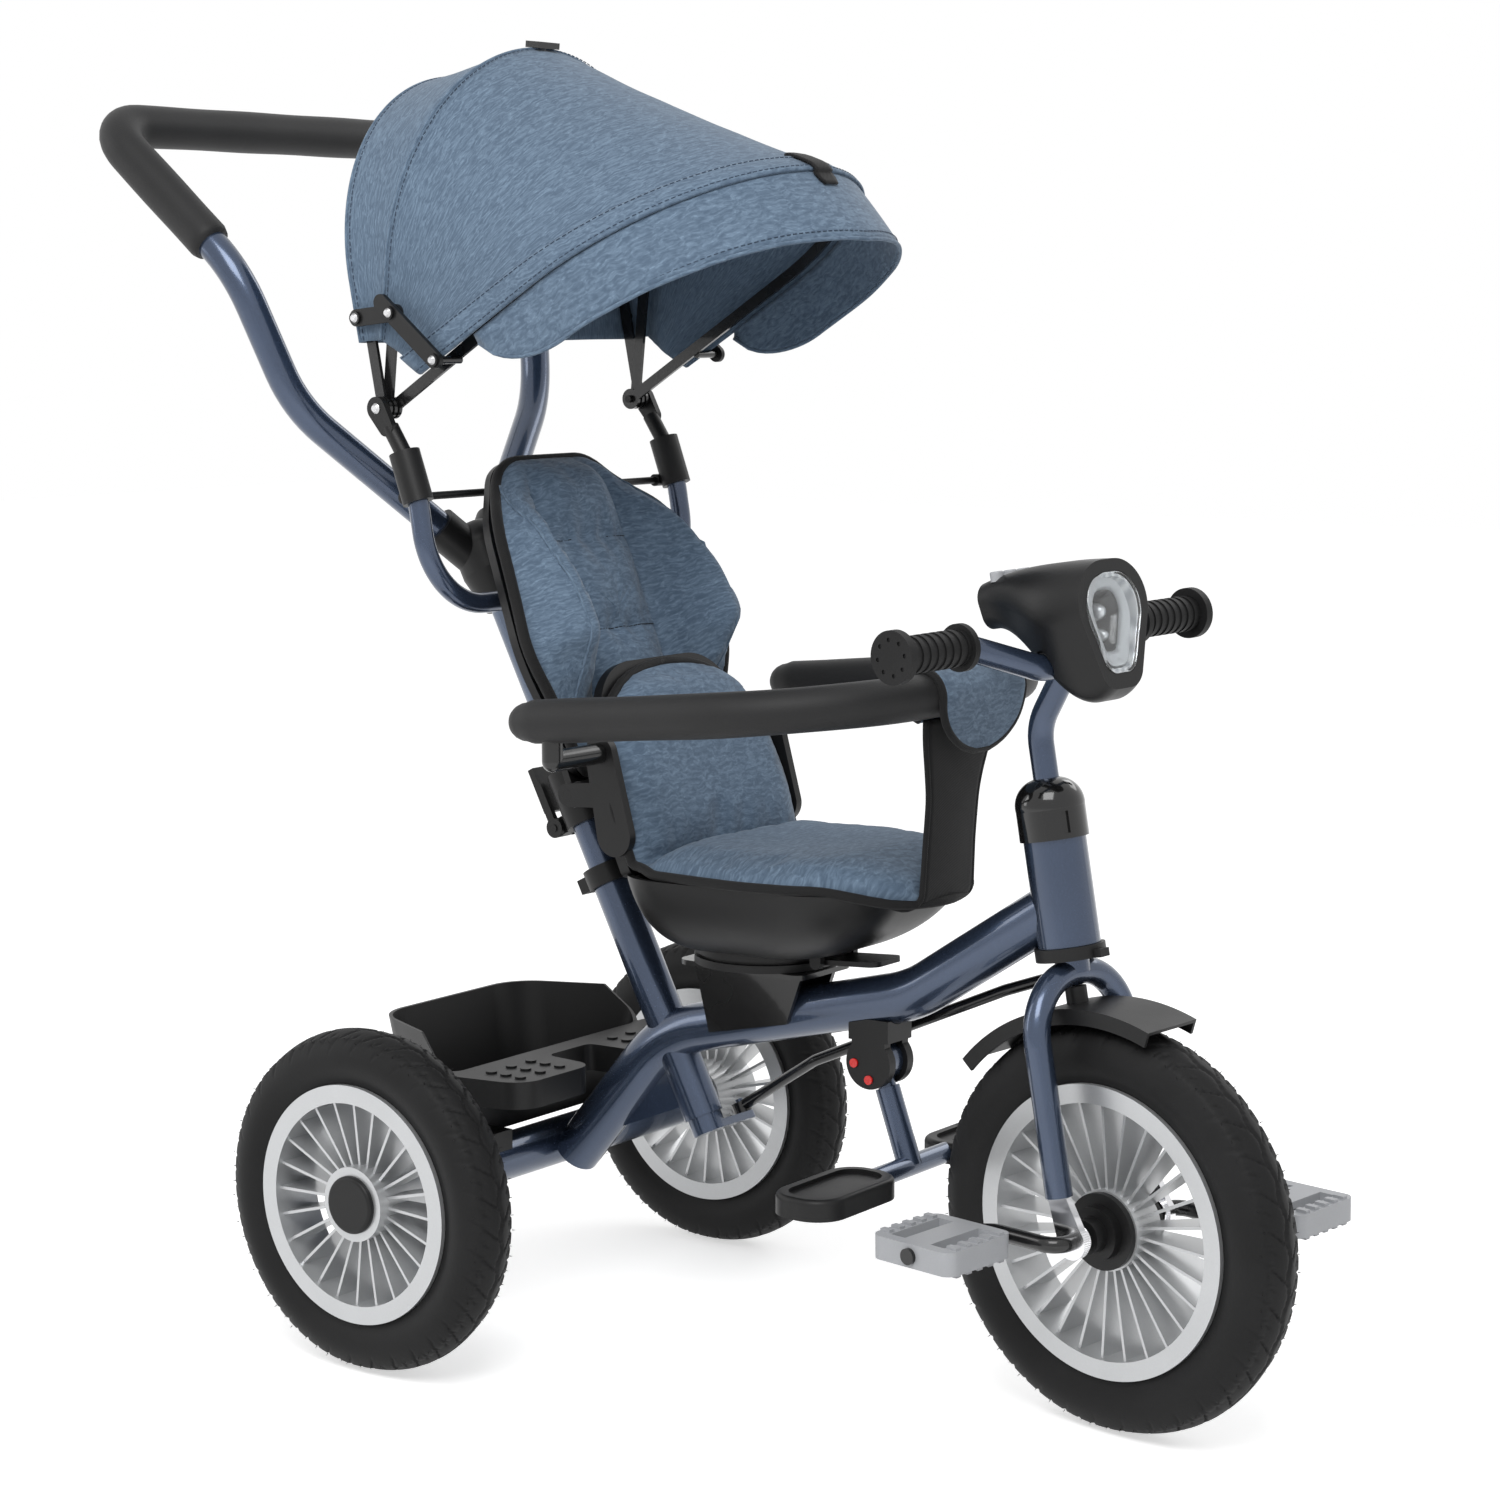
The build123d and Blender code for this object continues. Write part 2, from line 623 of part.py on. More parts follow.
def lamp_keys():
    """Row of round keys on the lamp's rear edge."""
    keys = []
    for y in key_rows():
        key = Cylinder(KEY_R, 7.5, align=(Align.CENTER, Align.CENTER, Align.MAX))
        key = Pos(KEY_X, y, LAMP_TOP_Z + 3) * key
        keys.append(fillet(key.edges().group_by(Axis.Z)[-1], 1.2))
    return FORK * Compound(children=keys)


def lamp_lens():
    plate = slab(lens_outline(), lamp_plane(LAMP_FRONT_X - LENS_T + 1), LENS_T)
    return FORK * fillet(plate.edges().group_by(Axis.X)[-1], 1.5)


def lamp_reflector():
    """Bowl behind the lens with a lamp seat at its bottom."""
    front = LAMP_FRONT_X - LENS_T + 1 - 2 * SEAT_GAP
    back = LAMP_FRONT_X - REFLECTOR_DEPTH
    outer = loft([lamp_plane(front) * lens_outline(-1.6), lamp_plane(back) * lens_outline(-16)])
    inner = loft([lamp_plane(front + 1) * lens_outline(-3.4), lamp_plane(back + 2) * lens_outline(-18.5)])
    return FORK * (outer - inner)


# Frame
def head_point(height):
    """Point on the head axis at a height above the crown."""
    place = HEAD * Pos(0, 0, height)
    return place.position


def socket_point(length):
    """Point on the handle socket's axis."""
    tilt = radians(SOCKET_TILT)
    return (SOCKET_FOOT[0] - length * sin(tilt), 0, SOCKET_FOOT[1] + length * cos(tilt))


SOCKET = Location((SOCKET_FOOT[0], 0, SOCKET_FOOT[1])) * Rot(0, -SOCKET_TILT, 0)


def main_frame():
    """Welded frame: head tube, bent main tube, axle tube, handle socket and gusset."""
    main = main_tube_solid(0)
    head = HEAD * Pos(0, 0, HEAD_TUBE_LOW) * Cylinder(
        HEAD_TUBE_R, HEAD_TUBE_LEN, align=(Align.CENTER, Align.CENTER, Align.MIN)
    )
    axle = Pos(0, 0, REAR_WHEEL_R) * ring_y(AXLE_TUBE_R, 0, -AXLE_TUBE_HALF, AXLE_TUBE_HALF)
    socket = SOCKET * Cylinder(SOCKET_R, SOCKET_LEN, align=(Align.CENTER, Align.CENTER, Align.MIN))
    foot = socket_point(12)
    web = make_face(Polyline(
        (AXLE_TUBE_R - 3, REAR_WHEEL_R), (foot[0], foot[2]), (socket_point(60)[0], socket_point(60)[2]),
        (MAIN_BEND_REAR[0] - 30, MAIN_BEND_REAR[1] - 34), close=True
    ))
    gusset = extrude(Plane.XZ * web, amount=GUSSET_T / 2, both=True)
    frame = main + head + axle + socket + gusset
    frame -= HEAD * Pos(0, 0, HEAD_TUBE_LOW - 1) * Cylinder(
        HEAD_BORE_R, HEAD_TUBE_LEN + 2, align=(Align.CENTER, Align.CENTER, Align.MIN)
    )
    frame -= SOCKET * Pos(0, 0, -40) * Cylinder(
        HANDLE_TUBE_R + RUN_FIT, SOCKET_LEN + 80, align=(Align.CENTER, Align.CENTER, Align.MIN)
    )
    frame -= HEAD * Pos(0, 0, HEAD_TUBE_LOW) * Cylinder(
        HEAD_RING_R + FREE_GAP, HEAD_TUBE_LEN, align=(Align.CENTER, Align.CENTER, Align.MAX)
    )
    hollow = AXLE_TUBE_HALF - AXLE_PLUG_LEN
    frame -= Pos(0, 0, REAR_WHEEL_R) * ring_y(AXLE_TUBE_R - AXLE_TUBE_WALL, 0, -hollow, hollow)
    return frame - Pos(0, 0, REAR_WHEEL_R) * ring_y(REAR_AXLE_R, 0, -AXLE_TUBE_HALF - 1, AXLE_TUBE_HALF + 1)


def head_bushes():
    """Bushes at both ends of the head tube, in which the steerer turns."""
    bush = Cylinder(HEAD_BORE_R, BUSH_LEN, align=(Align.CENTER, Align.CENTER, Align.MIN))
    lower = Pos(0, 0, HEAD_TUBE_LOW) * bush
    bore = Cylinder(STEERER_R + RUN_FIT, 4 * HEAD_TUBE_HIGH)
    upper = Pos(0, 0, HEAD_TUBE_LEN - BUSH_LEN) * lower
    return HEAD * Compound(children=[lower - bore, upper - bore])


def head_cap():
    """Glossy domed cover on the head tube, open for the stem."""
    low = HEAD_TUBE_HIGH
    high = low + HEAD_CAP_H
    mouth = BAR_R + FREE_GAP / 2
    wall = 3.0
    outer = make_face([
        Line((mouth, low), (HEAD_CAP_R, low)),
        Line((HEAD_CAP_R, low), (HEAD_CAP_R, low + HEAD_CAP_H * 0.5)),
        ThreePointArc((HEAD_CAP_R, low + HEAD_CAP_H * 0.5), (HEAD_CAP_R * 0.86, low + HEAD_CAP_H * 0.82),
                      (mouth, high)),
        Line((mouth, high), (mouth, low)),
    ])
    cap = revolve(Plane.XZ * outer, axis=Axis.Z)
    steerer_room = STEERER_R + wall
    cap -= Pos(0, 0, low - 1) * Cylinder(
        steerer_room, HEAD_CAP_H * 0.5, align=(Align.CENTER, Align.CENTER, Align.MIN)
    )
    for turn in (-35, 35):
        slot = Rot(0, 0, turn) * Pos(HEAD_CAP_R, 0, low + 12) * Box(5, 5, 16)
        cap -= slot
    return HEAD * cap


def socket_collar():
    """Clamp ring round the socket's mouth with a bolt lug behind."""
    high = SOCKET_LEN + COLLAR_H / 2
    ring = Pos(0, 0, high) * Cylinder(COLLAR_R, COLLAR_H, align=(Align.CENTER, Align.CENTER, Align.MAX))
    lug = Pos(-COLLAR_R - 3, 0, high - COLLAR_H / 2) * Box(12, 14, COLLAR_H - 4)
    ring = ring + lug
    ring -= Pos(0, 0, SOCKET_LEN) * Cylinder(
        SOCKET_R, COLLAR_H, align=(Align.CENTER, Align.CENTER, Align.MAX)
    )
    return SOCKET * (ring - Pos(0, 0, SOCKET_LEN) * Cylinder(HANDLE_TUBE_R + SEAT_GAP, 3 * COLLAR_H))


def seat_bracket():
    """Folded steel bracket on the main tube that carries the turntable."""
    low = BRACKET_TOP - BRACKET_T
    plate = Pos(SEAT_AXIS_X, 0, low) * Box(
        BRACKET_LEN, 2 * BRACKET_HALF_W, BRACKET_T, align=(Align.CENTER, Align.CENTER, Align.MIN)
    )
    plate = fillet(plate.edges().filter_by(Axis.Z), 10)
    for sign in (-1, 1):
        x0 = SEAT_AXIS_X - BRACKET_LEN / 2 + 8
        x1 = SEAT_AXIS_X + BRACKET_LEN / 2 - 8
        web = make_face(Polyline((x0, low), (x1, low), (x1 - 14, low - 38), (x0 + 14, low - 54), close=True))
        cheek = extrude(Plane.XZ * web, amount=BRACKET_T)
        cheek = Pos(0, sign * (MAIN_TUBE_R + SEAT_GAP) + (BRACKET_T if sign > 0 else 0), 0) * cheek
        plate += cheek
    return plate - Pos(SEAT_AXIS_X, 0, BRACKET_TOP) * Cylinder(SWIVEL_PIN_R + RUN_FIT, 4 * BRACKET_T)


# Basket
def basket_outline(inset):
    rear = BASKET_REAR_X + inset
    front = BASKET_FRONT_X - inset
    half = BASKET_HALF_W - inset
    points = [(rear, -half * 0.62), (front, -half), (front, half), (rear, half * 0.62)]
    return rounded_polygon(points, [42, 14, 14, 42])


SADDLE_ALIGN = (Align.CENTER, Align.CENTER, Align.MIN)


def storage_basket():
    """Tapered tub behind the axle with a dimpled step in front, in one moulding."""
    low = REAR_WHEEL_R + AXLE_TUBE_R + SEAT_GAP
    outer = loft([Pos(0, 0, low) * basket_outline(BASKET_TAPER), Pos(0, 0, BASKET_RIM_Z) * basket_outline(0)])
    inner = loft([
        Pos(0, 0, low + BASKET_WALL) * basket_outline(BASKET_TAPER + BASKET_WALL),
        Pos(0, 0, BASKET_RIM_Z + BASKET_WALL) * basket_outline(BASKET_WALL),
    ])
    tub = outer - inner
    drop = make_face(Polyline(
        (BASKET_REAR_X + 70, BASKET_RIM_Z + 5), (BASKET_FRONT_X + 5, BASKET_RIM_Z + 5),
        (BASKET_FRONT_X + 5, STEP_TOP_Z), (BASKET_FRONT_X - 12, STEP_TOP_Z), close=True
    ))
    tub -= extrude(Plane.XZ * drop, amount=BASKET_HALF_W + 10, both=True)
    half = BASKET_HALF_W - 6
    lobes = rounded_polygon(
        [(BASKET_FRONT_X - 10, -half), (STEP_FRONT_X, -half + 14), (STEP_FRONT_X, -STEP_NOTCH_HALF),
         (BASKET_FRONT_X + 12, -STEP_NOTCH_HALF + 4), (BASKET_FRONT_X + 12, STEP_NOTCH_HALF - 4),
         (STEP_FRONT_X, STEP_NOTCH_HALF), (STEP_FRONT_X, half - 14), (BASKET_FRONT_X - 10, half)],
        [4, 26, 16, 8, 8, 16, 26, 4]
    )
    step = Pos(0, 0, STEP_TOP_Z) * extrude(lobes, amount=-STEP_SKIRT)
    under = extrude(offset(lobes, amount=-BASKET_WALL), amount=-STEP_SKIRT)
    step -= Pos(0, 0, STEP_TOP_Z - BASKET_WALL) * under
    room = Pos(0, 0, low) * loft([
        Pos(0, 0, BASKET_WALL) * basket_outline(BASKET_TAPER + BASKET_WALL),
        Pos(0, 0, BASKET_RIM_Z - low + BASKET_WALL) * basket_outline(BASKET_WALL),
    ])
    step -= room
    moulding = tub + step
    for sign in (-1, 1):
        for i in range(3):
            for j in range(3):
                spot = Pos(20 + 15 * i, sign * (52 + 24 * j), STEP_TOP_Z)
                moulding += spot * Cylinder(4.5, 1.6, align=(Align.CENTER, Align.CENTER, Align.MIN))
        moulding += Pos(-4, sign * 84, REAR_WHEEL_R) * Box(40, 26, AXLE_TUBE_R + 8, align=SADDLE_ALIGN)
    saddle_room = ring_y(AXLE_TUBE_R + SEAT_GAP, 0, -AXLE_TUBE_HALF, AXLE_TUBE_HALF)
    return moulding - Pos(0, 0, REAR_WHEEL_R) * saddle_room


# Footrest
def footrest_block():
    """Hinge block under the main tube: two cheeks, a bridge and the pivot pin."""
    x, z = FOOT_PIVOT
    out = FOOT_CHEEK_IN + FOOT_CHEEK_T
    block = None
    tube_low = main_tube_low(x)
    for sign in (-1, 1):
        ends = sorted((sign * FOOT_CHEEK_IN, sign * out))
        cheek = ring_y(FOOT_DRUM_R, 0, *ends)
        neck = Box(30, FOOT_CHEEK_T, tube_low - z - 1, align=(Align.CENTER, Align.CENTER, Align.MIN))
        cheek += Pos(0, sign * (FOOT_CHEEK_IN + FOOT_CHEEK_T / 2), 0) * neck
        block = cheek if block is None else block + cheek
    bridge_low = FOOT_KNUCKLE_R + FREE_GAP
    bridge = Pos(0, 0, bridge_low) * Box(
        36, 2 * out, tube_low - z - bridge_low + 8, align=(Align.CENTER, Align.CENTER, Align.MIN)
    )
    block = Pos(x, 0, z) * (block + bridge + ring_y(FOOT_PIN_R, 0, -out, out))
    block -= main_tube_solid(SEAT_GAP)
    for spot in button_spots():
        hole = ring_y(BUTTON_R + RUN_FIT, 0, -out - 1, -FOOT_CHEEK_IN - 1.2)
        block -= Pos(spot[0], 0, spot[1]) * hole
    return block


def main_tube_solid(grow):
    """The bent main tube, grown by a gap, for pieces that seat on it."""
    join = head_point(HEAD_TUBE_HIGH - MAIN_HEAD_DROP)
    path = [(join.X, 0, join.Z), (MAIN_BEND_FRONT[0], 0, MAIN_BEND_FRONT[1]),
            (MAIN_BEND_REAR[0], 0, MAIN_BEND_REAR[1]), (MAIN_END[0], 0, MAIN_END[1])]
    return rod_along(path, MAIN_TUBE_R + grow, MAIN_BEND_R)


def main_tube_low(x):
    """Height of the main tube's underside between its bends."""
    (x0, z0), (x1, z1) = MAIN_BEND_REAR, MAIN_BEND_FRONT
    slope = (z1 - z0) / (x1 - x0)
    return z0 + slope * (x - x0) - MAIN_TUBE_R * hypot(1, slope)


def button_spots():
    """Places of the two release buttons on the near cheek."""
    x, z = FOOT_PIVOT
    return [(x - 12.5, z - 1.0), (x + 1.0, z - 12.5)]


def footrest_buttons():
    out = FOOT_CHEEK_IN + FOOT_CHEEK_T
    buttons = []
    for spot in button_spots():
        peg = ring_y(BUTTON_R, 0, -out - BUTTON_PROUD, -FOOT_CHEEK_IN - 1.2 - BUTTON_TRAVEL - SEAT_GAP)
        buttons.append(Pos(spot[0], 0, spot[1]) * peg)
    return Compound(children=buttons)


def footrest_frame():
    """Leg with a knuckle at its top and a cross tube at its foot."""
    x, z = FOOT_PIVOT
    knuckle = Pos(x, 0, z) * ring_y(FOOT_KNUCKLE_R, 0, -FOOT_CHEEK_IN + SEAT_GAP, FOOT_CHEEK_IN - SEAT_GAP)
    run = Vector(FOOT_CROSS[0] - x, 0, FOOT_CROSS[1] - z)
    start = Vector(x, 0, z) + run.normalized() * (FOOT_DRUM_R + FREE_GAP)
    leg = straight_rod(start, (FOOT_CROSS[0], 0, FOOT_CROSS[1]), FOOT_LEG_R)
    neck = straight_rod((x, 0, z), start, FOOT_CHEEK_IN - 1)
    cross = Pos(FOOT_CROSS[0], 0, FOOT_CROSS[1]) * ring_y(FOOT_CROSS_R, 0, -FOOT_CROSS_HALF, FOOT_CROSS_HALF)
    frame = knuckle + neck + leg + cross
    return frame - Pos(x, 0, z) * ring_y(FOOT_PIN_R + RUN_FIT, 0, -40, 40)


def footrest_pads():
    """Rounded pads on the cross tube's ends, dished on top."""
    length, width, height = FOOT_PAD
    pad = extrude(RectangleRounded(length, width, 24), amount=height)
    pad = fillet(pad.edges().group_by(Axis.Z)[-1], 4)
    dish = Pos(0, 0, height - 3) * extrude(RectangleRounded(length - 18, width - 18, 16), amount=10)
    pad = Pos(FOOT_CROSS[0], FOOT_PAD_Y, FOOT_CROSS[1] - height / 2) * (pad - dish)
    hole = Pos(FOOT_CROSS[0], 0, FOOT_CROSS[1]) * ring_y(FOOT_CROSS_R, 0, 0, FOOT_CROSS_HALF)
    return both_sides(pad - hole)


# Push handle
def handle_tube():
    """Lower tube that turns in the socket, with the steering lever at its foot."""
    length = HANDLE_TUBE_TOP - HANDLE_TUBE_FOOT
    tube = Pos(0, 0, HANDLE_TUBE_FOOT) * Cylinder(
        HANDLE_TUBE_R, length, align=(Align.CENTER, Align.CENTER, Align.MIN)
    )
    lever_t = 6.0
    outline = make_hull(
        Circle(HANDLE_TUBE_R).edges() + (Pos(0, HANDLE_ARM_Y) * Circle(ROD_PIN_R + 5)).edges()
    )
    lever = Pos(0, 0, HANDLE_TUBE_FOOT) * extrude(outline, amount=lever_t)
    pin = Pos(0, HANDLE_ARM_Y, HANDLE_TUBE_FOOT + lever_t) * Cylinder(
        ROD_PIN_R, 2 * ROD_R + 3, align=(Align.CENTER, Align.CENTER, Align.MIN)
    )
    tube = tube + lever + pin
    bore = Pos(0, 0, HANDLE_TUBE_FOOT + 20) * Cylinder(
        POST_R + RUN_FIT, length, align=(Align.CENTER, Align.CENTER, Align.MIN)
    )
    return SOCKET * (tube - bore)


def clamp_low():
    return HANDLE_TUBE_TOP - CLAMP_H + 10


def handle_clamp():
    """Quick-release clamp at the lower tube's top, split behind, with ears for the lever."""
    body = Pos(0, 0, clamp_low()) * Cylinder(CLAMP_R, CLAMP_H, align=(Align.CENTER, Align.CENTER, Align.MIN))
    ear = Pos(-CLAMP_R - 5, 0, clamp_low()) * Box(14, 16, 14, align=(Align.CENTER, Align.CENTER, Align.MIN))
    body = body + ear
    body -= Pos(0, 0, clamp_low() - 1) * Cylinder(
        HANDLE_TUBE_R, HANDLE_TUBE_TOP - clamp_low() + 1, align=(Align.CENTER, Align.CENTER, Align.MIN)
    )
    body -= Pos(0, 0, HANDLE_TUBE_TOP - 1) * Cylinder(
        POST_R + SEAT_GAP, 2 * CLAMP_H, align=(Align.CENTER, Align.CENTER, Align.MIN)
    )
    x, z = clamp_pivot()
    pin = Pos(x, 0, z) * ring_y(CLAMP_PIN_R, 0, -14, 14)
    return SOCKET * (body + pin)


def clamp_pivot():
    """Pivot of the clamp lever, in the socket's frame."""
    return (-CLAMP_R - 7, clamp_low() + 7)


def clamp_lever():
    """Lever with a forked foot on the clamp's pin, lying along the tube."""
    x, z = clamp_pivot()
    lever = None
    for sign in (-1, 1):
        ends = sorted((sign * 8.4, sign * 13))
        cheek = Pos(x, 0, z) * ring_y(8, 0, *ends)
        strap = Box(7, 4.6, CLAMP_H - 8, align=(Align.CENTER, Align.CENTER, Align.MIN))
        strap = Pos(x, sign * 10.7, z) * strap
        part = cheek + strap
        lever = part if lever is None else lever + part
    lever += Pos(x - 1, 0, z + 14) * Box(6, 26, CLAMP_H - 8, align=(Align.CENTER, Align.CENTER, Align.MIN))
    return SOCKET * (lever - Pos(x, 0, z) * ring_y(CLAMP_PIN_R + RUN_FIT, 0, -30, 30))


def handle_post():
    """Upper tube that slides in the lower one."""
    return SOCKET * Pos(0, 0, POST_FOOT) * Cylinder(
        POST_R, HUB_AT - HANDLE_HUB_H / 2 - POST_FOOT + 20, align=(Align.CENTER, Align.CENTER, Align.MIN)
    )


def arm_points(side):
    """Corner points of the handle's bent bar, from the hub to the middle of the crossbar."""
    return [
        (-78, side * 14, 618), (-136, side * 146, 734), (-166, side * 178, 840),
        (-300, side * HANDLE_HALF_W, 956),
    ]


ARM_BENDS = [110, 95, 34]


def handle_arms():
    """The bent bar: two arms rising from the hub to a crossbar behind."""
    points = arm_points(1) + list(reversed(arm_points(-1)))
    path = FilletPolyline(*points, radius=ARM_BENDS + list(reversed(ARM_BENDS)))
    section = Plane(origin=path @ 0, z_dir=path % 0) * Circle(ARM_R)
    return sweep(section, path=path)


def foam_start(side):
    """Where the foam grip begins: part of the way from the second bend to the third."""
    low, high = arm_points(side)[2:4]
    share = 0.18
    return tuple(a + (b - a) * share for a, b in zip(low, high))


def handle_foam():
    """Foam sleeve over the upper arms and the crossbar."""
    points = [foam_start(1), arm_points(1)[3], arm_points(-1)[3], foam_start(-1)]
    path = FilletPolyline(*points, radius=ARM_BENDS[2])
    plane = Plane(origin=path @ 0, z_dir=path % 0)
    return sweep(plane * Circle(FOAM_R), path=path) - handle_arms()


def handle_hub():
    """Moulded hub that joins the post to both arms."""
    low = HUB_AT - HANDLE_HUB_H / 2
    neck = POST_R + 4
    profile = make_face([
        Line((0, low), (neck, low)),
        Line((neck, low), (HANDLE_HUB_R, low + HANDLE_HUB_H * 0.42)),
        Line((HANDLE_HUB_R, low + HANDLE_HUB_H * 0.42), (HANDLE_HUB_R, low + HANDLE_HUB_H * 0.72)),
        ThreePointArc((HANDLE_HUB_R, low + HANDLE_HUB_H * 0.72),
                      (HANDLE_HUB_R * 0.83, low + HANDLE_HUB_H * 0.91),
                      (HANDLE_HUB_R * 0.4, low + HANDLE_HUB_H)),
        Line((HANDLE_HUB_R * 0.4, low + HANDLE_HUB_H), (0, low + HANDLE_HUB_H)),
        Line((0, low + HANDLE_HUB_H), (0, low)),
    ])
    hub = SOCKET * revolve(Plane.XZ * profile, axis=Axis.Z)
    for side in (-1, 1):
        start, corner = [Vector(*p) for p in arm_points(side)[:2]]
        along = (corner - start).normalized()
        hub += straight_rod((start - along * 8), (start + along * 30), ARM_R + 4)
    hub -= handle_arms()
    return hub - handle_post()


def rod_ends():
    """Rear pin on the handle's lever and front pin on the steering arm."""
    rear = (SOCKET * Pos(0, HANDLE_ARM_Y, HANDLE_TUBE_FOOT + 6 + ROD_R + 1)).position
    front = (FORK * Pos(STEER_ARM[0], STEER_ARM[1], HEAD_RING_LOW - ROD_DROP)).position
    return rear, front


def steering_rod():
    """Bent rod under the frame from the handle's lever to the steering arm."""
    rear, front = rod_ends()
    points = [rear, rear + Vector(*ROD_KNEE_REAR), front + Vector(*ROD_KNEE_FRONT), front]
    rod = rod_along(points, ROD_R, ROD_BEND)
    eye = SOCKET * Pos(0, HANDLE_ARM_Y, HANDLE_TUBE_FOOT + 6 + SEAT_GAP) * Cylinder(
        ROD_PIN_R + 4.5, 2 * ROD_R, align=(Align.CENTER, Align.CENTER, Align.MIN)
    )
    hook = FORK * Pos(STEER_ARM[0], STEER_ARM[1], HEAD_RING_LOW - ROD_DROP) * Cylinder(
        ROD_PIN_R, ROD_DROP + HEAD_RING_H, align=(Align.CENTER, Align.CENTER, Align.MIN)
    )
    elbow = Location(front) * Sphere(ROD_R)
    rod = rod + eye + hook + elbow
    pin_room = SOCKET * Pos(0, HANDLE_ARM_Y, HANDLE_TUBE_FOOT) * Cylinder(ROD_PIN_R + RUN_FIT, 80)
    return rod - pin_room


# Seat
def seat_turntable():
    """Round turntable under the seat with its pivot through the bracket."""
    low = BRACKET_TOP + SEAT_GAP
    disc = Pos(SEAT_AXIS_X, 0, low) * Cylinder(
        TURNTABLE_R, TURNTABLE_H, align=(Align.CENTER, Align.CENTER, Align.MIN)
    )
    disc -= Pos(SEAT_AXIS_X, 0, low + TURNTABLE_H / 2) * (
        Cylinder(TURNTABLE_R + 5, 3) - Cylinder(TURNTABLE_R - 4, 3)
    )
    pin_low = BRACKET_TOP - BRACKET_T - 8
    pin = Pos(SEAT_AXIS_X, 0, pin_low) * Cylinder(
        SWIVEL_PIN_R, low - pin_low + 2, align=(Align.CENTER, Align.CENTER, Align.MIN)
    )
    return disc + pin


SHELL_LOW = BRACKET_TOP + SEAT_GAP + TURNTABLE_H


def seat_section(front, rear, half, corner_front, corner_rear):
    points = [(rear, -half * 0.9), (front, -half * 0.72), (front, half * 0.72), (rear, half * 0.9)]
    return rounded_polygon(points, [corner_rear, corner_front, corner_front, corner_rear])


def seat_bowl(inset):
    """Bowl of the seat as a loft of three outlines, drawn in by an inset."""
    lift = inset
    rim = SEAT_RIM_Z + (0.5 if inset else 0)
    return loft([
        Pos(0, 0, SHELL_LOW + lift) * seat_section(290 - inset, 158 + inset, 72 - inset, 40, 40),
        Pos(0, 0, SHELL_LOW + 24 + lift) * seat_section(340 - inset, 150 + inset, 112 - inset, 60, 44),
        Pos(0, 0, rim) * seat_section(SEAT_FRONT_X - inset, 146 + inset, 134 - inset, 74, 46),
    ])


LOW_BACK = Location((LOW_BACK_FOOT[0], 0, LOW_BACK_FOOT[1])) * Rot(0, -LOW_BACK_LEAN, 0)


def low_back_outline(inset):
    """Front view of the low back: an arch that narrows upward."""
    half = LOW_BACK_HALF_W - inset
    top = LOW_BACK_H - inset
    points = [(-half * 0.95, 0), (half * 0.95, 0), (half, top * 0.36),
              (half * 0.66, top), (-half * 0.66, top), (-half, top * 0.36)]
    return rounded_polygon(points, [6, 6, 46, 52, 52, 46])


def low_back_plane(depth):
    """Plane of the low back, seen from the front, at a distance ahead of its face."""
    return Plane(origin=(depth, 0, 0), x_dir=(0, 1, 0), z_dir=(1, 0, 0))


def seat_shell():
    """Moulded bucket: bowl, low back, arms for the safety bar and lugs for the backrest."""
    shell = seat_bowl(0) - seat_bowl(SEAT_WALL)
    back = LOW_BACK * slab(low_back_outline(-4), low_back_plane(-LOW_BACK_T), LOW_BACK_T)
    shell += back
    px, pz = SAFETY_PIVOT
    rx, rz = recline_pivot()
    for sign in (-1, 1):
        arm_web = make_hull(
            (Pos(px, pz) * Circle(13)).edges() + (Pos(px + 14, pz - 62) * Circle(16)).edges()
        )
        arm = extrude(Plane.XZ * arm_web, amount=7)
        reach = SAFETY_ARM_Y
        arm = Pos(0, sign * reach + (7 if sign > 0 else 0), 0) * arm
        lug_web = make_hull(
            (Pos(rx, rz) * Circle(9)).edges() + (Pos(rx + 48, rz + 4) * Circle(10)).edges()
        )
        lug = Pos(0, sign * 92 + (6 if sign > 0 else 0), 0) * extrude(Plane.XZ * lug_web, amount=6)
        shell += arm + (lug - pad_space())
    lx, lz = release_pivot()
    for sign in (-1, 1):
        ends = sorted((sign * (RELEASE_HALF_W + SEAT_GAP), sign * (RELEASE_HALF_W + 6)))
        lug = Pos(lx, 0, lz) * ring_y(5, 0, *ends)
        lug += Pos(lx, sign * (RELEASE_HALF_W + 3.15), lz) * Box(
            10, 5.7, 14, align=(Align.CENTER, Align.CENTER, Align.MIN)
        )
        shell += lug - seat_bowl(SEAT_WALL)
    shell += Pos(lx, 0, lz) * ring_y(RELEASE_PIN_R, 0, -RELEASE_HALF_W - 6, RELEASE_HALF_W + 6)
    shell -= Pos(px, 0, pz) * ring_y(SAFETY_TUBE_R + RUN_FIT, 0, -400, 400)
    return shell - Pos(rx, 0, rz) * ring_y(RECLINE_PIN_R + RUN_FIT, 0, -400, 400)


def pad_space():
    """Room ahead of the low back's face, kept clear for the pad."""
    return LOW_BACK * Pos(200, 0, 80) * Box(400 - 0.01, 400, 400)


def recline_pivot():
    """Axis on which the backrest reclines, in the side view."""
    spot = (BACK * Pos(RECLINE_AT[0], 0, RECLINE_AT[1])).position
    return (spot.X, spot.Z)


def crown_face(half, height, sag):
    """Section of a crowned cushion: flat below, arched above."""
    edge = height - sag
    return make_face([
        Line((-half, -5), (half, -5)),
        Line((half, -5), (half, edge)),
        ThreePointArc((half, edge), (0, height), (-half, edge)),
        Line((-half, edge), (-half, -5)),
    ])


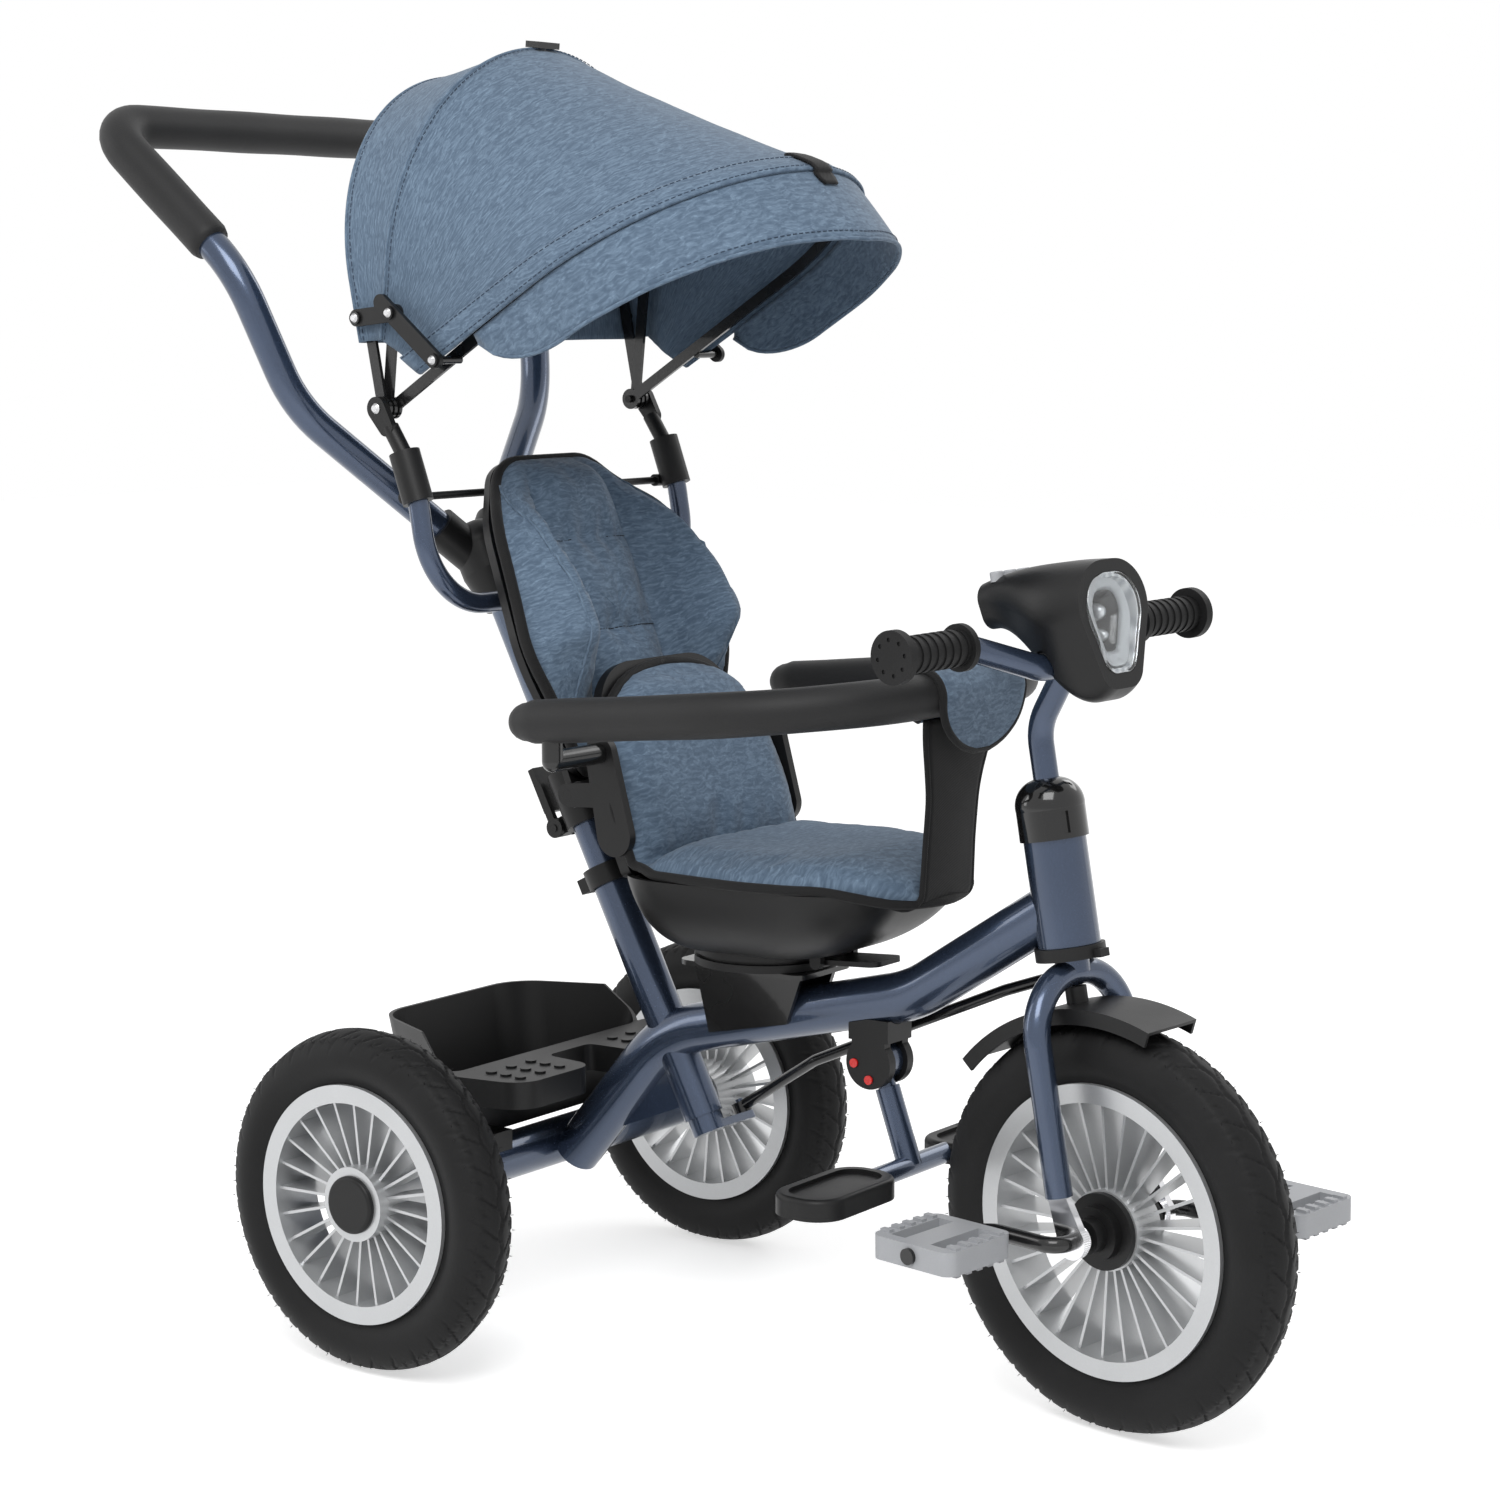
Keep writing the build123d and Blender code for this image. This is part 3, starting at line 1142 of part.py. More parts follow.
def crowned(cushion, along, across, half_along, half_across):
    """A cushion cut to an arched face both along and across."""
    cushion &= extrude(along * crown_face(half_along, PAD_T, PAD_SAG), amount=200, both=True)
    return cushion & extrude(across * crown_face(half_across, PAD_T, PAD_SAG), amount=200, both=True)


def seat_pad():
    """Crowned seat cushion and the low back cushion that rises from its rear seam."""
    base_z = SEAT_RIM_Z + SEAT_GAP
    mid_x = (SEAT_FRONT_X + LOW_BACK_FOOT[0]) / 2
    outline = seat_section(SEAT_FRONT_X - 6, LOW_BACK_FOOT[0] - 2, 126, 70, 40)
    pad = Pos(0, 0, base_z) * extrude(outline, amount=PAD_T)
    along = Plane(origin=(mid_x, 0, base_z), x_dir=(1, 0, 0), z_dir=(0, -1, 0))
    across = Plane(origin=(mid_x, 0, base_z), x_dir=(0, 1, 0), z_dir=(1, 0, 0))
    pad = crowned(pad, along, across, 108, 126)
    back = slab(low_back_outline(2), low_back_plane(SEAT_GAP), PAD_T)
    along = Plane(origin=(SEAT_GAP, 0, LOW_BACK_H / 2), x_dir=(0, 0, 1), z_dir=(0, 1, 0))
    across = Plane(origin=(SEAT_GAP, 0, LOW_BACK_H / 2), x_dir=(0, 1, 0), z_dir=(0, 0, -1))
    back = LOW_BACK * crowned(back, along, across, 84, 112)
    back -= Pos(mid_x, 0, base_z) * Box(400, 400, PAD_T, align=(Align.CENTER, Align.CENTER, Align.MAX))
    room = LOW_BACK * Pos(-100 + SEAT_GAP, 0, 80) * Box(200, 400, 400)
    return pad - room + back


def release_pivot():
    """Axis of the release paddle, in the side view."""
    return (SEAT_AXIS_X + TURNTABLE_R + 10, SHELL_LOW - 6)


def seat_release():
    """Paddle under the seat's front edge that frees the turntable."""
    x, z = release_pivot()
    paddle = Box(52, 2 * RELEASE_HALF_W, 4, align=(Align.MIN, Align.CENTER, Align.CENTER))
    paddle = fillet(paddle.edges().filter_by(Axis.Z), 8)
    barrel = ring_y(4.5, 0, -RELEASE_HALF_W, RELEASE_HALF_W)
    lever = Rot(0, -4, 0) * paddle + barrel - ring_y(RELEASE_PIN_R + RUN_FIT, 0, -60, 60)
    return Pos(x, 0, z) * lever


def crotch_strap():
    """Wide strap from the seat's front edge up to the safety bar."""
    top = (BAR_FRONT[0] - 4, BAR_FRONT[1] - SAFETY_FOAM_R - WRAP_T - 2 * SEAT_GAP)
    foot = (SEAT_FRONT_X + STRAP_T / 2 + SEAT_GAP, SEAT_RIM_Z - 8)
    lean = atan2(top[0] - foot[0], top[1] - foot[1])
    length = hypot(top[0] - foot[0], top[1] - foot[1])
    strap = Pos(foot[0], 0, foot[1]) * Rot(0, degrees(lean), 0) * Box(
        STRAP_T, STRAP_W, length, align=(Align.CENTER, Align.CENTER, Align.MIN)
    )
    return strap


# Safety bar
def safety_points():
    rear_x, rear_z = BAR_REAR
    front_x, front_z = BAR_FRONT
    half = SAFETY_HALF_W
    right = [(rear_x, -half, rear_z), (front_x, -half, front_z)]
    left = [(front_x, half, front_z), (rear_x, half, rear_z)]
    return right + left


def safety_bar_tube():
    """Bent tube inside the foam, with a drop leg and a pivot stub on each side."""
    bar = rod_along(safety_points(), SAFETY_TUBE_R, SAFETY_BEND)
    px, pz = SAFETY_PIVOT
    for sign in (-1, 1):
        y = sign * SAFETY_HALF_W
        inner = sign * (SAFETY_ARM_Y + 7 + FREE_GAP)
        slope = (BAR_FRONT[1] - BAR_REAR[1]) / (BAR_FRONT[0] - BAR_REAR[0])
        top_z = BAR_REAR[1] + slope * (px - BAR_REAR[0])
        leg = straight_rod((px, y, top_z), (px, y, pz), SAFETY_TUBE_R)
        ends = sorted((inner - sign * 12, y))
        stub = Pos(px, 0, pz) * ring_y(SAFETY_TUBE_R, 0, *ends)
        bar += leg + stub + Pos(px, y, pz) * Sphere(SAFETY_TUBE_R)
    return bar


def safety_bar_foam():
    """Foam sleeve over the bar, closed and rounded at its rear ends."""
    foam = rod_along(safety_points(), SAFETY_FOAM_R, SAFETY_BEND)
    for point in (safety_points()[0], safety_points()[3]):
        foam += Pos(*point) * Sphere(SAFETY_FOAM_R)
    return foam - safety_bar_tube()


def bar_wrap():
    """Fabric wrap round the front of the bar."""
    x, z = BAR_FRONT
    inner = SAFETY_FOAM_R + SEAT_GAP / 3
    return Pos(x, 0, z) * ring_y(inner + WRAP_T, inner, -WRAP_HALF, WRAP_HALF)


# Backrest
BACK = Location((BACK_FOOT[0], 0, BACK_FOOT[1])) * Rot(0, -BACK_LEAN, 0)


def back_outline(grow):
    """Egg-shaped front view of the backrest, widest below the middle."""
    half = BACK_HALF_W + grow
    points = [(-half * 0.66, -grow), (half * 0.66, -grow), (half, BACK_H * 0.36), (half * 0.86, BACK_H * 0.78),
              (half * 0.42, BACK_H + grow), (-half * 0.42, BACK_H + grow), (-half * 0.86, BACK_H * 0.78),
              (-half, BACK_H * 0.36)]
    return rounded_polygon(points, [30, 30, 70, 60, 42, 42, 60, 70])


def wing_profile(rear, front, half):
    """Plan section of the backrest: a flat middle with wings that come forward."""
    edge = WING_DEPTH
    points = [
        (rear, -WING_IN), (rear, WING_IN), (rear + edge * 0.55, half), (front + edge, half),
        (front + edge * 0.9, half - 26), (front, WING_IN - 12), (front, -WING_IN + 12),
        (front + edge * 0.9, -half + 26), (front + edge, -half), (rear + edge * 0.55, -half),
    ]
    return rounded_polygon(points, [30, 30, 5, 12, 12, 22, 22, 12, 12, 5])


def back_cut(grow):
    plane = Plane(origin=(-50, 0, 0), x_dir=(0, 1, 0), z_dir=(1, 0, 0))
    return slab(back_outline(grow), plane, 220)


def wing_side_view():
    """Side view that the wings keep inside: shallow at the foot, deep beside the head."""
    deep = BACK_SHELL_T + BACK_PAD_T + WING_DEPTH + 2
    points = [(-60, -60), (BACK_PAD_T + 8, -60), (BACK_PAD_T + 12, BACK_H * 0.27), (deep, BACK_H * 0.5),
              (deep, BACK_H * 0.84), (deep - 26, BACK_H + 20), (-60, BACK_H + 20)]
    return extrude(Plane.XZ * rounded_polygon(points, [1, 1, 30, 30, 40, 1, 1]), amount=200, both=True)


def backrest_pad():
    """Winged cushion with a sewn hollow down the middle."""
    section = wing_profile(BACK_SHELL_T + SEAT_GAP, BACK_SHELL_T + BACK_PAD_T, BACK_HALF_W)
    body = extrude(section, amount=BACK_H) & back_cut(0) & wing_side_view()
    for share in (0.36, 0.72):
        groove = ring_y(4, 0, -WING_IN + 14, WING_IN - 14)
        groove = Pos(BACK_SHELL_T + BACK_PAD_T + 1.5, 0, BACK_H * share) * groove
        body -= groove
    return BACK * body


def backrest_shell():
    """Moulded back panel behind the pad with the canopy carrier's seat and recline pins."""
    outer = extrude(wing_profile(0, BACK_SHELL_T + 60, BACK_HALF_W + 3), amount=BACK_H + 4)
    outer = Pos(0, 0, -2) * outer & back_cut(3)
    inner = Pos(0, 0, -20) * extrude(wing_front_room(), amount=BACK_H + 60)
    tongue = Pos(0, 0, RECLINE_AT[1] - RECLINE_EAR_R) * Box(
        BACK_SHELL_T, 168, 34, align=(Align.MIN, Align.CENTER, Align.MIN)
    )
    shell = BACK * (outer - inner + tongue)
    rx, rz = recline_pivot()
    for sign in (-1, 1):
        ends = sorted((sign * 70, sign * 98))
        pin = Pos(rx, 0, rz) * ring_y(RECLINE_PIN_R, 0, *ends)
        ear_ends = sorted((sign * 70, sign * 84))
        shell += pin + Pos(rx, 0, rz) * ring_y(RECLINE_EAR_R, 0, *ear_ends)
    x, z = carrier_spot()
    clip_h = (z - BACK_FOOT[1]) / cos(radians(BACK_LEAN))
    for sign in (-1, 1):
        shell += BACK * Pos(1, sign * 46, clip_h) * Box(
            2 * CARRIER_R + 7, 18, 2 * CARRIER_R + 8, align=(Align.MAX, Align.CENTER, Align.CENTER)
        )
    return shell - Pos(x, 0, z) * ring_y(CARRIER_R + SEAT_GAP / 3, 0, -90, 90)


def wing_front_room():
    """Space in front of the shell that the pad fills."""
    edge = WING_DEPTH
    rear = BACK_SHELL_T
    half = BACK_HALF_W + 40
    points = [(rear, -WING_IN), (rear, WING_IN), (rear + edge * 0.55, BACK_HALF_W), (rear + edge * 0.55, half),
              (300, half), (300, -half), (rear + edge * 0.55, -half), (rear + edge * 0.55, -BACK_HALF_W)]
    return make_face(FilletPolyline(*points, radius=[30, 30, 0, 0, 0, 0, 0, 0], close=True))


# Canopy
def canopy_carrier():
    """U-shaped tube behind the backrest that holds the canopy's posts."""
    x, z = carrier_spot()
    half = CARRIER_HALF_W
    points = [(SLEEVE_TOP[0], -half, SLEEVE_TOP[1]), (SLEEVE_FOOT[0], -half, SLEEVE_FOOT[1]), (x, -half, z),
              (x, half, z), (SLEEVE_FOOT[0], half, SLEEVE_FOOT[1]), (SLEEVE_TOP[0], half, SLEEVE_TOP[1])]
    return rod_along(points, CARRIER_R, CARRIER_BEND)


def carrier_spot():
    """Middle of the carrier's crossbar in the side view, seated on the shell's rear face."""
    lean = radians(BACK_LEAN)
    x = BACK_FOOT[0] - (CARRIER_Z - BACK_FOOT[1]) * tan(lean) - (CARRIER_R + SEAT_GAP) / cos(lean)
    return (x, CARRIER_Z)


def canopy_posts():
    """Sleeves on the carrier with the thin posts and a cross rod, up to the canopy's hinge plates."""
    half = CARRIER_HALF_W
    foot = (SLEEVE_FOOT[0], half, SLEEVE_FOOT[1])
    top = (SLEEVE_TOP[0], half, SLEEVE_TOP[1])
    run = (Vector(*top) - Vector(*foot)).normalized()
    cap = (Vector(*top) + run * 4)
    hinge = Vector(CANOPY_HINGE[0], half, CANOPY_HINGE[1])
    post_end = hinge - (hinge - Vector(*top)).normalized() * 17
    sleeve = straight_rod(foot, cap, SLEEVE_R)
    post = straight_rod(top, post_end, POST_THIN_R)
    web = make_hull(
        (Pos(hinge.X, hinge.Z) * Circle(9)).edges() + (Pos(post_end.X, post_end.Z) * Circle(7)).edges()
    )
    plate = Pos(0, half + 6, 0) * extrude(Plane.XZ * web, amount=5.4)
    pin = Pos(hinge.X, 0, hinge.Z) * ring_y(RIVET_R, 0, BOW_Y_FRONT - 5, half + 6)
    side = sleeve + post + plate + pin
    rod_z = SLEEVE_FOOT[1] + 3
    back_x = BACK_FOOT[0] - (rod_z - BACK_FOOT[1]) * tan(radians(BACK_LEAN))
    rod_x = back_x - (CROSS_ROD_R + FREE_GAP) / cos(radians(BACK_LEAN))
    side += Pos(rod_x, 0, rod_z) * ring_y(CROSS_ROD_R + 2, 0, half - 10, half)
    rod = Pos(rod_x, 0, rod_z) * ring_y(CROSS_ROD_R, 0, -half, half)
    return side + mirrored(side) + rod - canopy_carrier()


def bow_plane(angle):
    """Plane through the canopy's hinge line: local x runs across, local y up along the bow."""
    turn = radians(angle)
    hinge = (CANOPY_HINGE[0], 0, CANOPY_HINGE[1])
    return Plane(origin=hinge, x_dir=(0, 1, 0), z_dir=(sin(turn), 0, -cos(turn)))


def bow_strap(angle, length, half):
    """Flat strap bent to an arch, with an eye at each end on the hinge pin."""
    corner = half - 1
    points = [(-half, 6), (-half, length), (half, length), (half, 6)]
    path = bow_plane(angle) * FilletPolyline(*points, radius=corner)
    section = Plane(origin=path @ 0, x_dir=(0, 1, 0), z_dir=path % 0) * Rectangle(BOW_T, BOW_W)
    strap = sweep(section, path=path)
    eye = ring_y(8.5, 0, half - BOW_T / 2, half + BOW_T / 2)
    eyes = Pos(CANOPY_HINGE[0], 0, CANOPY_HINGE[1]) * (eye + mirrored(eye))
    pin = Pos(CANOPY_HINGE[0], 0, CANOPY_HINGE[1]) * ring_y(RIVET_R + RUN_FIT, 0, -400, 400)
    return strap + eyes - pin


def bow_reach(bow, extra):
    """Length of a bow's strap under the cover."""
    return bow[1] - COVER_T - BOW_GAP - BOW_T / 2 - extra


def stub_y(x, z, low, high, radius):
    """A pair of short pins along Y, one on each side."""
    pin = ring_y(radius, 0, low, high)
    return Pos(x, 0, z) * (pin + mirrored(pin))


def bow_clip(bow, length):
    """Small clip outside the cover at the middle of a bow, on a peg through the fabric."""
    peg = Pos(0, length, 0) * Rot(-90, 0, 0) * Cylinder(
        RIVET_R, bow[1] - length + 3, align=(Align.CENTER, Align.CENTER, Align.MIN)
    )
    head = Pos(0, bow[1] + 3, 0) * Box(26, 5, 13)
    return bow_plane(bow[0]).location * (peg + head)


def clip_room(bow):
    """Hole in the cover for a clip's peg."""
    return bow_plane(bow[0]).location * Pos(0, bow[1], 0) * Rot(-90, 0, 0) * Cylinder(RIVET_R + FREE_GAP, 40)


def canopy_rear_bow():
    """Rear arch, fixed to the posts, with the rivets of the brace links."""
    bow = bow_strap(REAR_BOW[0], bow_reach(REAR_BOW, 0), BOW_Y_REAR)
    link_low = CANOPY_HALF_W + BRACE_OFF
    bow += stub_y(*BRACE_A, BOW_Y_REAR, link_low + BRACE_T + SEAT_GAP, RIVET_R)
    return bow + stub_y(*BRACE_A, link_low + BRACE_T + SEAT_GAP, link_low + BRACE_T + 2, RIVET_HEAD_R)


def canopy_mid_bow():
    reach = bow_reach(MID_BOW, 1.8)
    return bow_strap(MID_BOW[0], reach, BOW_Y_MID) + bow_clip(MID_BOW, reach)


def canopy_front_bow():
    """Front arch with the studs on which the braces act."""
    bow = bow_strap(FRONT_BOW[0], bow_reach(FRONT_BOW, 9.0), BOW_Y_FRONT)
    link_low = CANOPY_HALF_W + BRACE_OFF + BRACE_T + FREE_GAP
    return bow + stub_y(*BRACE_F, BOW_Y_FRONT, link_low - FREE_GAP / 2, RIVET_R)


def arch_outline(half, length, foot):
    """Front view of the canopy's arch: straight sides and a half-round top."""
    return make_face([
        Line((-half, foot), (half, foot)),
        Line((half, foot), (half, length - half)),
        ThreePointArc((half, length - half), (0, length), (-half, length - half)),
        Line((-half, length - half), (-half, foot)),
    ])


def cover_body(half, cut, foot):
    """Body under the cover's skin: rear and front panels that meet at the middle bow, and a rear wall."""
    faces = [
        bow_plane(REAR_BOW[0]) * arch_outline(half, REAR_BOW[1] - cut, foot),
        bow_plane(MID_BOW[0]) * arch_outline(half, MID_BOW[1] - cut, foot),
        bow_plane(FRONT_BOW[0] - 1.0) * arch_outline(half, FRONT_BOW[1] - cut, foot),
    ]
    wall = extrude(faces[0], amount=-(BOW_W / 2 + FREE_GAP + COVER_T - cut))
    return wall + loft(faces[:2], ruled=True) + loft(faces[1:], ruled=True), extrude(faces[2], amount=12)


def canopy_cover():
    """Fabric cover stretched over the three bows, open in front and below."""
    half = CANOPY_HALF_W
    outer = cover_body(half, 0, COVER_FOOT)[0]
    inner, mouth = cover_body(half - COVER_T, COVER_T, COVER_FOOT - 14)
    cover = outer - inner - mouth
    cover -= stub_y(*BRACE_A, half - 12, half + 12, RIVET_R + FREE_GAP)
    return cover - clip_room(MID_BOW)


def visor_place():
    """Plane of the bow seen from the side: local x up along the bow, local y ahead of it."""
    turn = radians(FRONT_BOW[0])
    return Plane(
        origin=(CANOPY_HINGE[0], 0, CANOPY_HINGE[1]), x_dir=(cos(turn), 0, sin(turn)), z_dir=(0, 1, 0)
    )


def canopy_visor():
    """Stiffened sun visor: a crescent that leaves the front arch forward and down."""
    half = CANOPY_HALF_W - COVER_T - FREE_GAP
    length = FRONT_BOW[1] - COVER_T - FREE_GAP
    ahead = BOW_W / 2 + SEAT_GAP
    root = bow_plane(FRONT_BOW[0]).offset(ahead)
    skin = arch_outline(half, length, 60) - arch_outline(half - VISOR_T, length - VISOR_T, 40)
    brim = extrude(root * skin, amount=1.6 * VISOR_REACH, dir=(VISOR_DIR[0], 0, VISOR_DIR[1]))
    strap_in = BOW_Y_FRONT - BOW_T / 2
    flange = arch_outline(half, length, 60) - arch_outline(strap_in, length - half + strap_in, 40)
    visor = brim + extrude(root * flange, amount=VISOR_T)
    reach = VISOR_REACH * 1.3
    keep = make_face(Polyline(
        (VISOR_FOOT, 0), (VISOR_FOOT, ahead + 4), (length + 30, reach + ahead), (length + 30, 0), close=True
    ))
    return visor & extrude(visor_place() * keep, amount=CANOPY_HALF_W + 20, both=True)


def brace_link(start, end, low, nose):
    """Flat link between two points of the side view, between low and low + BRACE_T."""
    run = Vector(end[0] - start[0], end[1] - start[1]).normalized()
    tip = (end[0] + run.X * nose, end[1] + run.Y * nose)
    web = make_hull(
        (Pos(*start) * Circle(BRACE_W / 2)).edges() + (Pos(*tip) * Circle(BRACE_W / 2)).edges()
    )
    return Pos(0, low + BRACE_T, 0) * extrude(Plane.XZ * web, amount=BRACE_T)


def brace_links_rear():
    """Rear links of the canopy braces with the rivets that carry the front links."""
    low = CANOPY_HALF_W + BRACE_OFF
    link = brace_link(BRACE_A, BRACE_E, low, 0)
    link -= Pos(BRACE_A[0], 0, BRACE_A[1]) * ring_y(RIVET_R + RUN_FIT, 0, 0, 400)
    top = low + 2 * BRACE_T + FREE_GAP
    link += Pos(BRACE_E[0], 0, BRACE_E[1]) * ring_y(RIVET_R, 0, low, top + SEAT_GAP)
    link += Pos(BRACE_E[0], 0, BRACE_E[1]) * ring_y(RIVET_HEAD_R, 0, top + SEAT_GAP, top + 2)
    return both_sides(link)


def brace_links_front():
    """Front links of the canopy braces, each with a thumb tab behind its rivet."""
    low = CANOPY_HALF_W + BRACE_OFF + BRACE_T + FREE_GAP
    link = brace_link(BRACE_F, BRACE_E, low, 12)
    link -= Pos(BRACE_E[0], 0, BRACE_E[1]) * ring_y(RIVET_R + RUN_FIT, 0, 0, 400)
    link += Pos(BRACE_F[0], 0, BRACE_F[1]) * ring_y(RIVET_HEAD_R, 0, low + BRACE_T, low + BRACE_T + 2)
    return both_sides(link)


PIECES = {
    "main_frame": main_frame,
    "rear_axle": rear_axle,
    "storage_basket": storage_basket,
    "head_cap": head_cap,
    "head_bushes": head_bushes,
    "seat_bracket": seat_bracket,
    "socket_collar": socket_collar,
    "footrest_block": footrest_block,
    "footrest_frame": footrest_frame,
    "footrest_pads": footrest_pads,
    "footrest_buttons": footrest_buttons,
    "fork": fork,
    "fork_dropouts": fork_dropouts,
    "headset_ring": headset_ring,
    "front_fender": front_fender,
    "handlebar": handlebar,
    "handlebar_grips": handlebar_grips,
    "lamp_housing": lamp_housing,
    "lamp_lens": lamp_lens,
    "lamp_reflector": lamp_reflector,
    "lamp_keys": lamp_keys,
    "front_tyre": front_tyre,
    "front_rim": front_rim,
    "front_hub": front_hub,
    "crankshaft": crankshaft,
    "pedal_left": lambda: pedal(1),
    "pedal_right": lambda: pedal(-1),
    "rear_tyre_left": lambda: rear_tyre(1),
    "rear_tyre_right": lambda: rear_tyre(-1),
    "rear_rim_left": lambda: rear_rim(1),
    "rear_rim_right": lambda: rear_rim(-1),
    "rear_hub_cap_left": lambda: rear_hub_cap(1),
    "rear_hub_cap_right": lambda: rear_hub_cap(-1),
    "handle_tube": handle_tube,
    "handle_clamp": handle_clamp,
    "clamp_lever": clamp_lever,
    "handle_post": handle_post,
    "handle_hub": handle_hub,
    "handle_arms": handle_arms,
    "handle_foam": handle_foam,
    "steering_rod": steering_rod,
    "seat_turntable": seat_turntable,
    "seat_shell": seat_shell,
    "seat_pad": seat_pad,
    "seat_release": seat_release,
    "crotch_strap": crotch_strap,
    "safety_bar_tube": safety_bar_tube,
    "safety_bar_foam": safety_bar_foam,
    "bar_wrap": bar_wrap,
    "backrest_shell": backrest_shell,
    "backrest_pad": backrest_pad,
    "canopy_carrier": canopy_carrier,
    "canopy_posts": canopy_posts,
    "canopy_rear_bow": canopy_rear_bow,
    "canopy_cover": canopy_cover,
    "canopy_mid_bow": canopy_mid_bow,
    "canopy_front_bow": canopy_front_bow,
    "canopy_visor": canopy_visor,
    "brace_links_rear": brace_links_rear,
    "brace_links_front": brace_links_front,
}


def main():
    """Write every piece as its own file, moved to the tricycle's origin."""
    os.makedirs("parts", exist_ok=True)
    for name, make in PIECES.items():
        export_step(Pos(ORIGIN_X, 0, 0) * make(), f"parts/{name}.step")


if __name__ == "__main__":
    main()
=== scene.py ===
"""Children's tricycle with canopy and push handle: fabric, foam, rubber, trim and finishes over its frame."""

import json
import math

import bmesh
import bpy
from bpy.props import FloatProperty, FloatVectorProperty, IntProperty
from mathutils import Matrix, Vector, noise


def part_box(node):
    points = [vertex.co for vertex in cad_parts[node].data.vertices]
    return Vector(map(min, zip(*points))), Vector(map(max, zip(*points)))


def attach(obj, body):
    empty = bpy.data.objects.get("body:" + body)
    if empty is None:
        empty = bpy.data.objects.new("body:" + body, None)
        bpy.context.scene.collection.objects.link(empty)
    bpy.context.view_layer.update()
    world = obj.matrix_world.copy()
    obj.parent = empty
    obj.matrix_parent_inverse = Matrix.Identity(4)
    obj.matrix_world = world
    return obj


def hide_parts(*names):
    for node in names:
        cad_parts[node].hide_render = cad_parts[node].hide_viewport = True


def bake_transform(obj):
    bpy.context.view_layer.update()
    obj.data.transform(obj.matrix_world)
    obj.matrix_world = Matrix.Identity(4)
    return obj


bl_info = {
    "name": "Children's Tricycle",
    "version": (1, 0, 0),
    "blender": (4, 5, 0),
    "location": "View3D > Sidebar > Tricycle",
    "description": "Dresses the tricycle's frame with fabric, foam, rubber, trim and finishes",
    "category": "Object",
}

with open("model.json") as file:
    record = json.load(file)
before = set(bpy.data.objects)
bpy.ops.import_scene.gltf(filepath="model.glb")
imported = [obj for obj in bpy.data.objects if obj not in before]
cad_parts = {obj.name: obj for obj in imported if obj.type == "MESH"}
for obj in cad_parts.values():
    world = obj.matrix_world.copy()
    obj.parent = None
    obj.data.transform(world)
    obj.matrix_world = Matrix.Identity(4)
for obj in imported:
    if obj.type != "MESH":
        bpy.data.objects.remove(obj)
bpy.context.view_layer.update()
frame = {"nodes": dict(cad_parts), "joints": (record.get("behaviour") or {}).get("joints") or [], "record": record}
MM = 0.001
AXLE_X = -182.8

# Places in millimetres, from the ground under the middle of the rear axle.
CANOPY_HINGE = (-32.0, 735.5)
CANOPY_HALF = 165.0
REAR_BOW = (101.5, 265.0)
MID_BOW = (84.0, 279.0)
FRONT_BOW = (31.0, 346.0)
COVER_FOOT = 52.0
BACK_FOOT = (83.6, 450.0)
BACK_LEAN = 22.4
LOW_BACK_FOOT = (166.0, 386.0)
LOW_BACK_LEAN = 20.0
SEAT_RIM = 386.3
SAFETY_REAR = (118.0, 506.0)
SAFETY_FRONT = (396.0, 534.0)
SAFETY_HALF = 165.0


def place(x, y, z):
    """A point in the frame's metres from millimetres about the rear axle."""
    return Vector(((x + AXLE_X) * MM, y * MM, z * MM))


def joint_of(name):
    """The record's row of a joint."""
    return next(row for row in frame["joints"] if row["name"] == name)


def smooth(low, high, value):
    """Eased step from 0 at low to 1 at high."""
    share = min(1.0, max(0.0, (value - low) / (high - low)))
    return share * share * (3 - 2 * share)


def between(table, value):
    """Value on a smooth line through pairs of place and height that never overshoots them."""
    last = len(table) - 1
    value = min(max(value, table[0][0]), table[-1][0])
    index = next(i for i in range(last) if value <= table[i + 1][0])
    slopes = [(b[1] - a[1]) / (b[0] - a[0]) for a, b in zip(table, table[1:])]

    def lean(i):
        before = slopes[max(0, i - 1)]
        after = slopes[min(i, last - 1)]
        return 0.0 if before * after <= 0 else 2 * before * after / (before + after)

    run = table[index + 1][0] - table[index][0]
    t = (value - table[index][0]) / run
    ease = t * t * (3 - 2 * t)
    bend = lean(index) * t * (1 - t) ** 2 - lean(index + 1) * t * t * (1 - t)
    return table[index][1] * (1 - ease) + table[index + 1][1] * ease + run * bend


class ColourSettings(bpy.types.PropertyGroup):
    """Colours of the tricycle's finishes."""

    paint: FloatVectorProperty(
        name="Paint", description="Metallic paint of the tubes", subtype="COLOR",
        default=(0.048, 0.070, 0.120)
    )
    post: FloatVectorProperty(
        name="Post", description="Lighter paint of the sliding post", subtype="COLOR",
        default=(0.10, 0.13, 0.19)
    )
    cloth_deep: FloatVectorProperty(
        name="Cloth, deep", description="Dark yarn of the melange", subtype="COLOR",
        default=(0.066, 0.103, 0.158)
    )
    cloth_pale: FloatVectorProperty(
        name="Cloth, pale", description="Light yarn of the melange", subtype="COLOR",
        default=(0.185, 0.262, 0.355)
    )
    silver: FloatVectorProperty(
        name="Silver", description="Silver of the rims and fins", subtype="COLOR",
        default=(0.56, 0.57, 0.58)
    )
    plastic: FloatVectorProperty(
        name="Black plastic", description="Satin mouldings", subtype="COLOR",
        default=(0.0085, 0.0085, 0.0088)
    )
    foam: FloatVectorProperty(
        name="Foam", description="Foam sleeves", subtype="COLOR", default=(0.014, 0.014, 0.0145)
    )
    pedal: FloatVectorProperty(
        name="Pedal grey", description="Grey moulded pedals", subtype="COLOR", default=(0.40, 0.41, 0.43)
    )


